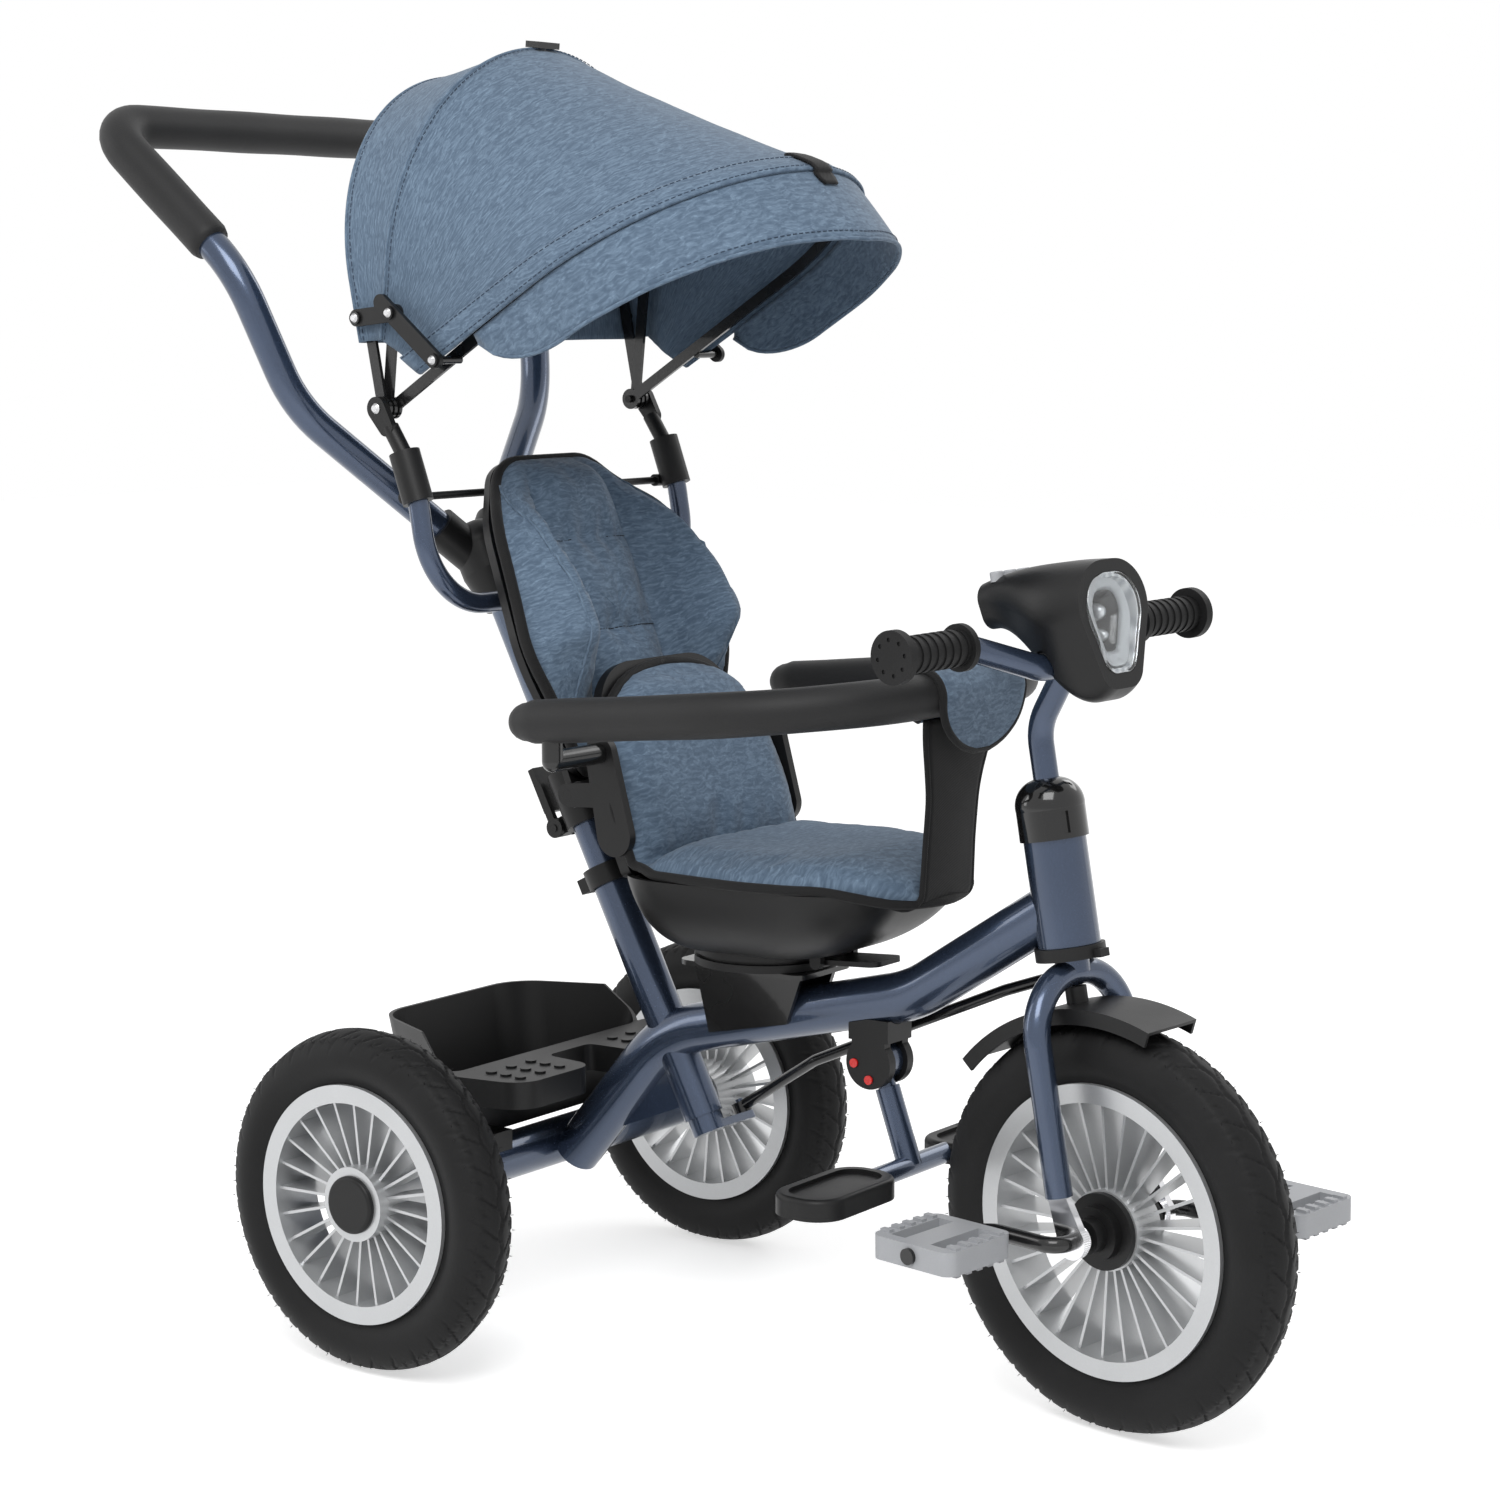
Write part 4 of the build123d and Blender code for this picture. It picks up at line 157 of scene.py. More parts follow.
class SizeSettings(bpy.types.PropertyGroup):
    """Sizes of the sewn and moulded details."""

    piping: FloatProperty(
        name="Piping", description="Radius of the black piping", subtype="DISTANCE", default=0.0034
    )
    stitch: FloatProperty(
        name="Stitch pitch", description="Distance between stitches", subtype="DISTANCE", default=0.0052
    )
    thread: FloatProperty(
        name="Thread", description="Radius of the sewing thread", subtype="DISTANCE", default=0.0004
    )
    cloth: FloatProperty(
        name="Cloth", description="Thickness of the canopy's cloth", subtype="DISTANCE", default=0.0016
    )
    sipe: FloatProperty(
        name="Sipe depth", description="Depth of the cuts in the tread", subtype="DISTANCE", default=0.0016
    )
    nib: FloatProperty(
        name="Nib", description="Length of the moulding hairs on the tyres", subtype="DISTANCE",
        default=0.0024
    )
    sipes: IntProperty(name="Sipes", description="Sipes round a tyre, each side", default=34)


class StageSettings(bpy.types.PropertyGroup):
    """Light and camera of the studio."""

    lens: FloatProperty(name="Lens", description="Focal length", subtype="DISTANCE_CAMERA", default=78.69)
    sky: FloatProperty(name="Sky", description="Strength of the even light", default=0.52)
    key: FloatProperty(name="Key", description="Power of the large soft lamp", subtype="POWER", default=38.0)
    side: FloatProperty(name="Side", description="Power of the strip lamp", subtype="POWER", default=9.0)


# Nodes
class Signal:
    """A node's output that takes part in plain arithmetic."""

    def __init__(self, graph, socket):
        self.graph = graph
        self.socket = socket

    def math(self, operation, first, second=0.0, third=0.0):
        node = self.graph.node("ShaderNodeMath", {"operation": operation}, {0: first, 1: second, 2: third})
        return self.graph.signal(node)

    def __add__(self, other):
        return self.math("ADD", self, other)

    def __sub__(self, other):
        return self.math("SUBTRACT", self, other)

    def __rsub__(self, other):
        return self.math("SUBTRACT", other, self)

    def __mul__(self, other):
        return self.math("MULTIPLY", self, other)

    def step(self, low, high):
        """Eased step of the value from 0 at low to 1 at high."""
        node = self.graph.node(
            "ShaderNodeMapRange", {"interpolation_type": "SMOOTHSTEP"},
            {"Value": self, "From Min": low, "From Max": high}
        )
        return self.graph.signal(node)

    def wave(self):
        """Sine of the value."""
        return self.math("SINE", self)

    __radd__ = __add__
    __rmul__ = __mul__


class Graph:
    """A node tree that is written as calls."""

    def __init__(self, tree):
        self.tree = tree

    def node(self, kind, settings=None, sockets=None):
        """A new node with its settings, then the values or links of its sockets."""
        made = self.tree.nodes.new(kind)
        for key, value in (settings or {}).items():
            if key == "stops":
                self.set_stops(made.color_ramp, value)
            else:
                setattr(made, key, value)
        for key, value in (sockets or {}).items():
            if isinstance(value, Signal):
                self.tree.links.new(value.socket, made.inputs[key])
            else:
                made.inputs[key].default_value = value
        return made

    def set_stops(self, ramp, stops):
        while len(ramp.elements) < len(stops):
            ramp.elements.new(0.5)
        for element, (spot, colour) in zip(ramp.elements, stops):
            element.position = spot
            element.color = (*colour, 1.0)

    def signal(self, node, output=0):
        return Signal(self, node.outputs[output])

    def tinted(self, share, low, high):
        """Colour between two colours."""
        low = low if isinstance(low, Signal) else (*low, 1.0)
        high = high if isinstance(high, Signal) else (*high, 1.0)
        node = self.node("ShaderNodeMix", {"data_type": "RGBA"}, {0: share, 6: low, 7: high})
        return self.signal(node, 2)


class Finish(Graph):
    """A material built round one principled shader."""

    def __init__(self, name):
        self.material = bpy.data.materials.new(name)
        self.material.use_nodes = True
        super().__init__(self.material.node_tree)
        self.shader = self.tree.nodes["Principled BSDF"]
        self.coords = None

    def set(self, **sockets):
        """Values or links of the shader's sockets, underscores for spaces."""
        for key, value in sockets.items():
            socket = self.shader.inputs[key.replace("_", " ")]
            if isinstance(value, Signal):
                self.tree.links.new(value.socket, socket)
            elif isinstance(value, tuple) and len(value) == 3:
                socket.default_value = (*value, 1.0)
            else:
                socket.default_value = value
        return self

    def where(self, scale=(1.0, 1.0, 1.0), cloth=False):
        """Coordinates on the piece, or along its weave, stretched."""
        if self.coords is None:
            if cloth:
                node = self.node("ShaderNodeAttribute", {"attribute_name": "weave"})
                self.coords = self.signal(node, 1)
            else:
                self.coords = self.signal(self.node("ShaderNodeTexCoord"), 3)
        return self.signal(self.node("ShaderNodeMapping", None, {"Vector": self.coords, "Scale": scale}))

    def grain(self, size, detail=2.0, stretch=(1.0, 1.0, 1.0), cloth=False, warp=None):
        """Noise of a grain size in metres."""
        scale = tuple(s / size for s in stretch)
        spot = self.where(scale, cloth)
        if warp is not None:
            spot = self.signal(
                self.node("ShaderNodeVectorMath", {"operation": "ADD"}, {0: spot, 1: warp})
            )
        return self.signal(
            self.node("ShaderNodeTexNoise", None, {"Vector": spot, "Scale": 1.0, "Detail": detail})
        )

    def bump(self, height, depth, strength=1.0):
        """Relief of a depth in metres."""
        node = self.node("ShaderNodeBump", None, {"Height": height, "Distance": depth, "Strength": strength})
        return self.set(Normal=self.signal(node))


def metallic_paint(name, colour):
    """Gloss paint with fine flakes under a clear coat."""
    made = Finish(name)
    flake = made.grain(0.0011, 1.0)
    cloud = made.grain(0.09, 2.0)
    deep = tuple(0.78 * c for c in colour)
    pale = tuple(1.35 * c for c in colour)
    share = flake.step(0.40, 0.66) * 0.16 + cloud * 0.62
    made.set(Base_Color=made.tinted(share, deep, pale), Metallic=0.66, Coat_Weight=0.6, Coat_Roughness=0.05)
    made.set(Roughness=flake * 0.06 + 0.23)
    return made.bump(cloud, 0.0004, 0.10).material


def moulded(name, colour, rough, grain=0.0011, coat=0.0, relief=0.00012, shine=0.28):
    """Moulded plastic with a fine grain and faint handling marks."""
    made = Finish(name)
    fine = made.grain(grain, 2.0)
    cloud = made.grain(0.06, 3.0)
    deep = tuple(0.82 * c for c in colour)
    pale = tuple(1.22 * c for c in colour)
    made.set(Base_Color=made.tinted(cloud * 0.7 + fine * 0.3, deep, pale))
    made.set(Roughness=cloud * 0.16 + (rough - 0.08), Coat_Weight=coat, Coat_Roughness=0.05)
    made.set(Specular_IOR_Level=shine)
    return made.bump(fine, relief, 0.5).material


def rubber(name, colour, rough):
    """Matte rubber with a dusty bloom."""
    made = Finish(name)
    fine = made.grain(0.0016, 3.0)
    bloom = made.grain(0.05, 4.0)
    pale = tuple(1.7 * c for c in colour)
    made.set(Base_Color=made.tinted(bloom.step(0.35, 0.75) * 0.7, colour, pale))
    made.set(Roughness=bloom * 0.15 + (rough - 0.07), Specular_IOR_Level=0.2)
    return made.bump(fine, 0.0002, 0.6).material


def foam_skin(name, colour):
    """Closed-cell foam sleeve: even matte skin with tiny pores and a soft sheen."""
    made = Finish(name)
    pores = made.grain(0.0013, 3.0)
    cloud = made.grain(0.035, 2.0)
    pale = tuple(1.45 * c for c in colour)
    made.set(Base_Color=made.tinted(pores * 0.55 + cloud * 0.45, tuple(0.8 * c for c in colour), pale))
    made.set(Roughness=pores * 0.12 + 0.48, Specular_IOR_Level=0.26, Sheen_Weight=0.05, Sheen_Roughness=0.5)
    return made.bump(pores, 0.00025, 0.7).material


def bright_metal(name, colour, rough, grain=0.004):
    """Plated or bare metal with faint drawn lines."""
    made = Finish(name)
    lines = made.grain(grain, 2.0, (0.25, 1.0, 1.0))
    made.set(Base_Color=made.tinted(lines, tuple(0.86 * c for c in colour), colour), Metallic=1.0)
    made.set(Roughness=lines * 0.12 + (rough - 0.05))
    return made.bump(lines, 0.00005, 0.3).material


def silver_moulding(name, colour):
    """Silver lacquered moulding of the rims."""
    made = Finish(name)
    flake = made.grain(0.0014, 1.0)
    cloud = made.grain(0.04, 2.0)
    made.set(Base_Color=made.tinted(flake * 0.5 + cloud * 0.5, tuple(0.84 * c for c in colour), colour))
    made.set(Metallic=0.62, Roughness=flake * 0.10 + 0.29, Coat_Weight=0.25, Coat_Roughness=0.15)
    return made.bump(cloud, 0.0003, 0.12).material


def melange(name, deep, pale):
    """Heathered cloth: short wavy streaks of dark and light yarn."""
    made = Finish(name)
    wander = made.signal(
        made.node("ShaderNodeTexNoise", None, {"Vector": made.where((70, 70, 70), True), "Scale": 1.0}), 1
    )
    warp = made.signal(
        made.node("ShaderNodeVectorMath", {"operation": "SCALE"}, {0: wander, "Scale": 3.4})
    )
    streak = made.grain(0.0025, 2.0, (0.30, 1.0, 1.0), True, warp)
    thread = made.grain(0.0010, 1.0, (0.45, 1.0, 1.0), True, warp)
    cloud = made.grain(0.045, 3.0, cloth=True)
    tone = streak.step(0.30, 0.74) * 0.58 + thread * 0.26 + cloud * 0.16
    light = streak.step(0.58, 0.74) * thread.step(0.45, 0.70)
    body = made.tinted(tone, deep, pale)
    made.set(Base_Color=made.tinted(light * 0.40, body, tuple(1.45 * c for c in pale)))
    made.set(Roughness=thread * 0.10 + 0.80, Specular_IOR_Level=0.25)
    made.set(Sheen_Weight=0.18, Sheen_Roughness=0.45)
    return made.bump(streak * 0.6 + thread * 0.4, 0.0006, 0.75).material


def webbing(name, colour):
    """Black woven tape with a fine diagonal rib."""
    made = Finish(name)
    parts = made.node("ShaderNodeSeparateXYZ", None, {"Vector": made.where((1.0, 1.0, 1.0), True)})
    along = made.signal(parts, 0)
    across = made.signal(parts, 1)
    rib = (along * 3600 + across * 3600).wave() * 0.5 + 0.5
    wear = made.grain(0.02, 3.0, cloth=True)
    made.set(Base_Color=made.tinted(rib * 0.4 + wear * 0.4, colour, tuple(2.2 * c for c in colour)))
    made.set(Roughness=wear * 0.12 + 0.70, Sheen_Weight=0.08, Specular_IOR_Level=0.22)
    return made.bump(rib, 0.0003, 0.5).material


def clear_lens(name):
    """Clear moulded lens, a little hazy in patches."""
    made = Finish(name)
    haze = made.grain(0.03, 2.0)
    made.set(Base_Color=(0.93, 0.95, 0.96), Transmission_Weight=1.0, IOR=1.45)
    made.set(Roughness=haze * 0.10 + 0.04)
    return made.material


def fluted_mirror(name):
    """Bright reflector with fine vertical flutes, with pale and dark stripes along them as painted reflection."""
    made = Finish(name)
    parts = made.node("ShaderNodeSeparateXYZ", None, {"Vector": made.where((1.0, 1.0, 1.0))})
    flute_and_glint = (made.signal(parts, 1) * 900).wave() * 0.5 + 0.5
    # Pale and dark stripes in the colour along the flutes are painted reflection, not the reflector's own colour.
    made.set(Base_Color=made.tinted(flute_and_glint, (0.52, 0.54, 0.57), (0.86, 0.87, 0.88)))
    made.set(Metallic=0.55, Roughness=flute_and_glint * 0.12 + 0.30)
    return made.bump(flute_and_glint, 0.0008, 0.6).material


FINISHES = {}


def mix_finishes():
    """Every finish of the tricycle, mixed from the scene's colours."""
    colour = bpy.context.scene.trike_colours
    plastic = tuple(colour.plastic)
    FINISHES.update({
        "paint": metallic_paint("tube_paint", tuple(colour.paint)),
        "paint_light": metallic_paint("post_paint", tuple(colour.post)),
        "dark_metal": moulded("black_enamel", plastic, 0.26, 0.003, 0.5),
        "steel": bright_metal("bare_steel", (0.56, 0.56, 0.57), 0.30),
        "chrome": bright_metal("chrome_plate", (0.82, 0.82, 0.84), 0.12, 0.01),
        "black_plastic": moulded("satin_moulding", plastic, 0.42),
        "gloss_black": moulded("gloss_moulding", tuple(0.7 * c for c in plastic), 0.14, 0.02, 0.6, 0.00003),
        "silver_plastic": silver_moulding("rim_silver", tuple(colour.silver)),
        "grey_plastic": moulded("pedal_moulding", tuple(colour.pedal), 0.42, shine=0.5),
        "red_plastic": moulded("red_button", (0.62, 0.012, 0.010), 0.25, 0.004, 0.5),
        "tyre": rubber("tyre_rubber", (0.0085, 0.0085, 0.0088), 0.58),
        "grip_rubber": rubber("grip_rubber", (0.0095, 0.0095, 0.0098), 0.54),
        "foam": foam_skin("foam_sleeve", tuple(colour.foam)),
        "fabric": melange("melange_cloth", tuple(colour.cloth_deep), tuple(colour.cloth_pale)),
        "black_fabric": webbing("black_webbing", (0.0065, 0.0065, 0.0068)),
        "lens": clear_lens("lamp_lens_clear"),
        "frost": moulded("lens_frost", (0.66, 0.68, 0.70), 0.42, 0.003, shine=0.5),
        "bright": fluted_mirror("lamp_mirror"),
        "lamp_shell": moulded("lamp_moulding", tuple(1.25 * c for c in plastic), 0.40, 0.0016, 0.0, 0.0002),
        "thread": webbing("sewing_thread", (0.030, 0.045, 0.070)),
        "dark_thread": webbing("dark_thread", (0.006, 0.006, 0.0065)),
    })


# Meshes
def piece(name, points, faces, finish, weave=None):
    """A smooth mesh object at the origin, with an optional weave coordinate for each point."""
    mesh = bpy.data.meshes.new(name)
    mesh.from_pydata([tuple(p) for p in points], [], faces)
    mesh.validate()
    mesh.update()
    mesh.polygons.foreach_set("use_smooth", [True] * len(mesh.polygons))
    if weave is not None:
        layer = mesh.attributes.new("weave", "FLOAT_VECTOR", "POINT")
        for spot, value in zip(layer.data, weave):
            spot.vector = (*value, 0.0)
    made = bpy.data.objects.new(name, mesh)
    bpy.context.scene.collection.objects.link(made)
    mesh.materials.append(FINISHES[finish])
    return made


def grid_faces(rows, columns, closed=False, offset=0):
    """Quads of a grid of points, row by row, closed round its columns where asked."""
    faces = []
    for row in range(rows - 1):
        for column in range(columns if closed else columns - 1):
            right = (column + 1) % columns
            low = offset + row * columns
            faces.append((low + column, low + right, low + columns + right, low + columns + column))
    return faces


def recalculated(made):
    """Normals pointing outwards, after doubles are merged."""
    shape = bmesh.new()
    shape.from_mesh(made.data)
    bmesh.ops.remove_doubles(shape, verts=shape.verts, dist=1e-6)
    bmesh.ops.recalc_face_normals(shape, faces=shape.faces)
    shape.to_mesh(made.data)
    shape.free()
    made.data.update()
    return made


def applied(made):
    """The object with its modifiers turned into plain mesh."""
    bpy.context.view_layer.update()
    graph = bpy.context.evaluated_depsgraph_get()
    mesh = bpy.data.meshes.new_from_object(made.evaluated_get(graph))
    old = made.data
    made.modifiers.clear()
    made.data = mesh
    mesh.name = made.name
    bpy.data.meshes.remove(old)
    return made


def thickened(made, wall, offset=-1.0, levels=0):
    """A sheet given its thickness and, where asked, one smoothing."""
    solid = made.modifiers.new("wall", "SOLIDIFY")
    solid.thickness = wall
    solid.offset = offset
    solid.use_even_offset = True
    if levels:
        sub = made.modifiers.new("smooth", "SUBSURF")
        sub.levels = levels
        sub.render_levels = levels
    return applied(made)


def rounded_path(corners, radii, steps=10):
    """Points along straight runs whose corners are rounded to their radii."""
    path = [corners[0]]
    for before, corner, after, radius in zip(corners, corners[1:], corners[2:], radii):
        into = (before - corner).normalized()
        out = (after - corner).normalized()
        half = into.angle(out) / 2
        reach = radius / math.tan(half)
        centre = corner + (into + out).normalized() * (radius / math.sin(half))
        start = (corner + into * reach - centre).normalized()
        end = (corner + out * reach - centre).normalized()
        for step in range(steps + 1):
            path.append(centre + start.slerp(end, step / steps) * radius)
    path.append(corners[-1])
    return path


def resampled(path, pitch):
    """Points at an even pitch along a path."""
    lengths = [0.0]
    for a, b in zip(path, path[1:]):
        lengths.append(lengths[-1] + (b - a).length)
    count = max(2, round(lengths[-1] / pitch))
    points = []
    index = 0
    for i in range(count + 1):
        want = lengths[-1] * i / count
        while index < len(path) - 2 and lengths[index + 1] < want:
            index += 1
        run = max(1e-9, lengths[index + 1] - lengths[index])
        points.append(path[index].lerp(path[index + 1], (want - lengths[index]) / run))
    return points


def tube(path, radius, sides=12, closed=False, cap=True):
    """Points, faces and weave of a round tube; radius may be a function of the share along it."""
    count = len(path)
    tangents = []
    for i in range(count):
        ahead = path[(i + 1) % count] if closed or i < count - 1 else path[i]
        behind = path[i - 1] if closed or i > 0 else path[i]
        tangents.append((ahead - behind).normalized())
    side = tangents[0].orthogonal().normalized()
    points = []
    weave = []
    run = 0.0
    for i, (spot, along) in enumerate(zip(path, tangents)):
        side = (side - along * side.dot(along)).normalized()
        up = along.cross(side)
        size = radius(i / (count - 1)) if callable(radius) else radius
        if i:
            run += (spot - path[i - 1]).length
        for k in range(sides):
            turn = 2 * math.pi * k / sides
            points.append(spot + side * (size * math.cos(turn)) + up * (size * math.sin(turn)))
            weave.append((run, size * turn))
    faces = grid_faces(count, sides, True)
    if closed:
        last = (count - 1) * sides
        faces += [(last + k, last + (k + 1) % sides, (k + 1) % sides, k) for k in range(sides)]
    elif cap:
        faces.append(tuple(reversed(range(sides))))
        faces.append(tuple(range((count - 1) * sides, count * sides)))
    return points, faces, weave


def tube_piece(name, path, radius, finish, sides=12, closed=False):
    """Piece of one tube, its faces turned outward."""
    points, faces, weave = tube(path, radius, sides, closed)
    return recalculated(piece(name, points, faces, finish, weave))


def joined(parts):
    """Points, faces and weave of several shapes as one."""
    points = []
    faces = []
    weave = []
    for part in parts:
        base = len(points)
        points += part[0]
        faces += [tuple(base + i for i in face) for face in part[1]]
        weave += part[2]
    return points, faces, weave


def dress(made, body, slot, *nodes):
    """A finished piece rides on a body and stands for CAD nodes, which it hides; its slot is not used."""
    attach(made, body)
    if nodes:
        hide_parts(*nodes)
    return made


def ripple(spot, size, depth):
    """Seeded soft noise for folds and puckers."""
    return noise.noise(Vector(spot) / size) * depth


# Repeats
def repeat_tree(name):
    """A node group that sets one small shape on every point, turned to the point's own direction."""
    tree = bpy.data.node_groups.new(name, "GeometryNodeTree")
    tree.interface.new_socket("Geometry", in_out="INPUT", socket_type="NodeSocketGeometry")
    length = tree.interface.new_socket("Length", in_out="INPUT", socket_type="NodeSocketFloat")
    radius = tree.interface.new_socket("Radius", in_out="INPUT", socket_type="NodeSocketFloat")
    tree.interface.new_socket("Geometry", in_out="OUTPUT", socket_type="NodeSocketGeometry")
    graph = Graph(tree)
    group = graph.node("NodeGroupInput")
    source = graph.signal(group, 0)
    return tree, graph, group, source, length.identifier, radius.identifier


def close_tree(graph, instances, finish):
    """Realised instances with their finish, as the group's result."""
    real = graph.signal(graph.node("GeometryNodeRealizeInstances", None, {0: instances}))
    shade = graph.node("GeometryNodeSetMaterial", None, {"Geometry": real, "Material": FINISHES[finish]})
    graph.node("NodeGroupOutput", None, {0: graph.signal(shade)})


def studded(name, spots, finish, length, radius, shape):
    """One mesh of a small shape set on spots of (place, direction)."""
    tree, graph, group, source, length_id, radius_id = repeat_tree(name + "_set")
    long = graph.signal(group, 1)
    wide = graph.signal(group, 2)
    if shape == "thread":
        body = graph.node("GeometryNodeMeshCylinder", None, {"Vertices": 6, "Radius": wide, "Depth": long})
    elif shape == "hair":
        body = graph.node(
            "GeometryNodeMeshCone", None,
            {"Vertices": 5, "Radius Top": 0.0001, "Radius Bottom": wide, "Depth": long}
        )
    else:
        body = graph.node(
            "GeometryNodeMeshCone", None,
            {"Vertices": 14, "Radius Top": wide * 0.62, "Radius Bottom": wide, "Depth": long}
        )
    facing = graph.node("GeometryNodeInputNamedAttribute", {"data_type": "FLOAT_VECTOR"}, {"Name": "facing"})
    turn = graph.node("FunctionNodeAlignRotationToVector", {"axis": "Z"}, {"Vector": graph.signal(facing)})
    points = graph.node("GeometryNodeMeshToPoints", None, {"Mesh": source})
    copies = graph.node(
        "GeometryNodeInstanceOnPoints", None,
        {"Points": graph.signal(points), "Instance": graph.signal(body), "Rotation": graph.signal(turn)}
    )
    close_tree(graph, graph.signal(copies), finish)
    mesh = bpy.data.meshes.new(name)
    mesh.from_pydata([tuple(spot) for spot, _ in spots], [], [])
    layer = mesh.attributes.new("facing", "FLOAT_VECTOR", "POINT")
    for row, (_, facing) in zip(layer.data, spots):
        row.vector = tuple(facing)
    made = bpy.data.objects.new(name, mesh)
    bpy.context.scene.collection.objects.link(made)
    modifier = made.modifiers.new("repeat", "NODES")
    modifier.node_group = tree
    modifier[length_id] = length
    modifier[radius_id] = radius
    applied(made)
    bpy.data.node_groups.remove(tree)
    return made


def stitch_row(path, pitch, proud=None):
    """Spots of stitches along a path, lifted along a direction where asked."""
    spots = []
    points = resampled(path, pitch)
    for a, b in zip(points, points[1:]):
        middle = (a + b) / 2
        if proud is not None:
            middle = middle + proud
        spots.append((middle, (b - a).normalized()))
    return spots


# Canopy
def bow_point(bow, across, up, ahead=0.0):
    """Point in a bow's plane: across the tricycle, up along the bow, and ahead of its plane."""
    turn = math.radians(bow[0])
    hinge_x, hinge_z = CANOPY_HINGE
    x = hinge_x + up * math.cos(turn) + ahead * math.sin(turn)
    z = hinge_z + up * math.sin(turn) - ahead * math.cos(turn)
    return place(x, across, z)


def arch(share, half, length, foot):
    """Across and up of a point on a canopy arch, from the right foot over the top to the left foot."""
    straight = length - half - foot
    bend = math.pi * half
    run = share * (2 * straight + bend)
    if run < straight:
        return -half, foot + run
    if run < straight + bend:
        turn = (run - straight) / half
        return -half * math.cos(turn), length - half + half * math.sin(turn)
    return half, foot + (2 * straight + bend - run)


def cover_point(share, bow, drop=0.0, ahead=0.0):
    across, up = arch(share, CANOPY_HALF - drop, bow[1] - drop, COVER_FOOT)
    return bow_point(bow, across, up, ahead)


CANOPY_COLUMNS = 97
VISOR_FOOT = 112.0
VISOR_LOBE = 69.0
VISOR_SIDE = 45.0
VISOR_EXTRA = 24.0
VISOR_BOW = (32.0, FRONT_BOW[1])
FOLD = 0.707
BAND_PROFILE = [
    (-23.0, 0.2), (-22.4, 1.5), (-20.0, 1.9), (-11.0, 2.1), (-2.5, 1.9), (0.4, 1.3), (1.0, -0.6),
]
BAND_SEAMS = (-20.5, -3.0)
KEEPER_LINE = [(29.0, 1.2), (26.0, 3.2), (18.0, 4.0), (8.0, 4.2), (1.0, 3.8), (-3.6, 1.2)]
KEEPER_HALF = 10.5
COVER_START = place(CANOPY_HINGE[0] - 176.4, 0, CANOPY_HINGE[1] + 75.7)
COVER_END = place(CANOPY_HINGE[0] + 136.9, 0, CANOPY_HINGE[1] - 58.8)


def fold_with_canopy(made, slot, *nodes):
    """Cloth with its placement baked into its mesh, standing for CAD nodes, which it hides."""
    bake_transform(made)
    if nodes:
        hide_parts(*nodes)
    return made


def cover_rows():
    """Rows of the cover: rear wall, rear panel and front panel, as one sheet."""
    shares = [i / (CANOPY_COLUMNS - 1) for i in range(CANOPY_COLUMNS)]
    rows = []
    for ring in range(1, 15):
        size = ring / 14.5
        row = []
        for share in shares:
            across, up = arch(share, CANOPY_HALF - 2, REAR_BOW[1] - 2, COVER_FOOT)
            up = COVER_FOOT + (up - COVER_FOOT) * size
            across *= size
            hang = 5.0 * math.sin(math.pi * size) * math.sin(math.pi * share)
            fold = 2.2 * math.sin(across / 16.0) * smooth(0.1, 0.6, size) * (1 - size)
            row.append(bow_point(REAR_BOW, across, up, -8.0 + hang + fold))
        rows.append(row)
    rows.append([cover_point(share, REAR_BOW, 0.8, -7.2) for share in shares])
    rows.append([cover_point(share, REAR_BOW, 0.0, -5.0) for share in shares])
    for step in range(6):
        part = step / 6
        rows.append([panel_point(share, REAR_BOW, MID_BOW, part, 1.2) for share in shares])
    for step in range(31):
        part = step / 30
        rows.append([panel_point(share, MID_BOW, FRONT_BOW, part, 4.0) for share in shares])
    return rows


def panel_point(share, rear, front, part, sag):
    """Point on a panel stretched between two bows, drawn in between them and puckered at its foot."""
    low = cover_point(share, rear)
    high = cover_point(share, front)
    spot = low.lerp(high, part)
    inward = Vector((0.0, -math.copysign(1.0, spot.y), 0.0))
    crown = smooth(0.0, 0.30, min(share, 1 - share))
    turn = math.radians(rear[0] + (front[0] - rear[0]) * part)
    down = Vector((-math.cos(turn), 0.0, -math.sin(turn)))
    inward = (inward * (1 - crown) + down * crown).normalized()
    pull = sag * 4 * part * (1 - part)
    edge = 1 - smooth(0.0, 0.16, min(share, 1 - share))
    pucker = abs(ripple(spot, 0.016, 2.6)) * edge
    crease = abs(ripple(spot, 0.07, 1.6)) * math.sin(math.pi * part)
    return spot + inward * ((pull + pucker + crease) * MM)


def canopy_sheet():
    """The cover as one curved sheet with its weave coordinates."""
    rows = cover_rows()
    points = [spot for row in rows for spot in row]
    weave = []
    run = 0.0
    for i, row in enumerate(rows):
        if i:
            middle = CANOPY_COLUMNS // 2
            run += (row[middle] - rows[i - 1][middle]).length
        across = 0.0
        for k, spot in enumerate(row):
            if k:
                across += (spot - row[k - 1]).length
            weave.append((across, run))
    faces = grid_faces(len(rows), CANOPY_COLUMNS)
    pole = len(points)
    points.append(bow_point(REAR_BOW, 0.0, COVER_FOOT, -8.0))
    weave.append((0.0, 0.0))
    faces += [(pole, k + 1, k) for k in range(CANOPY_COLUMNS - 1)]
    return points, faces, weave


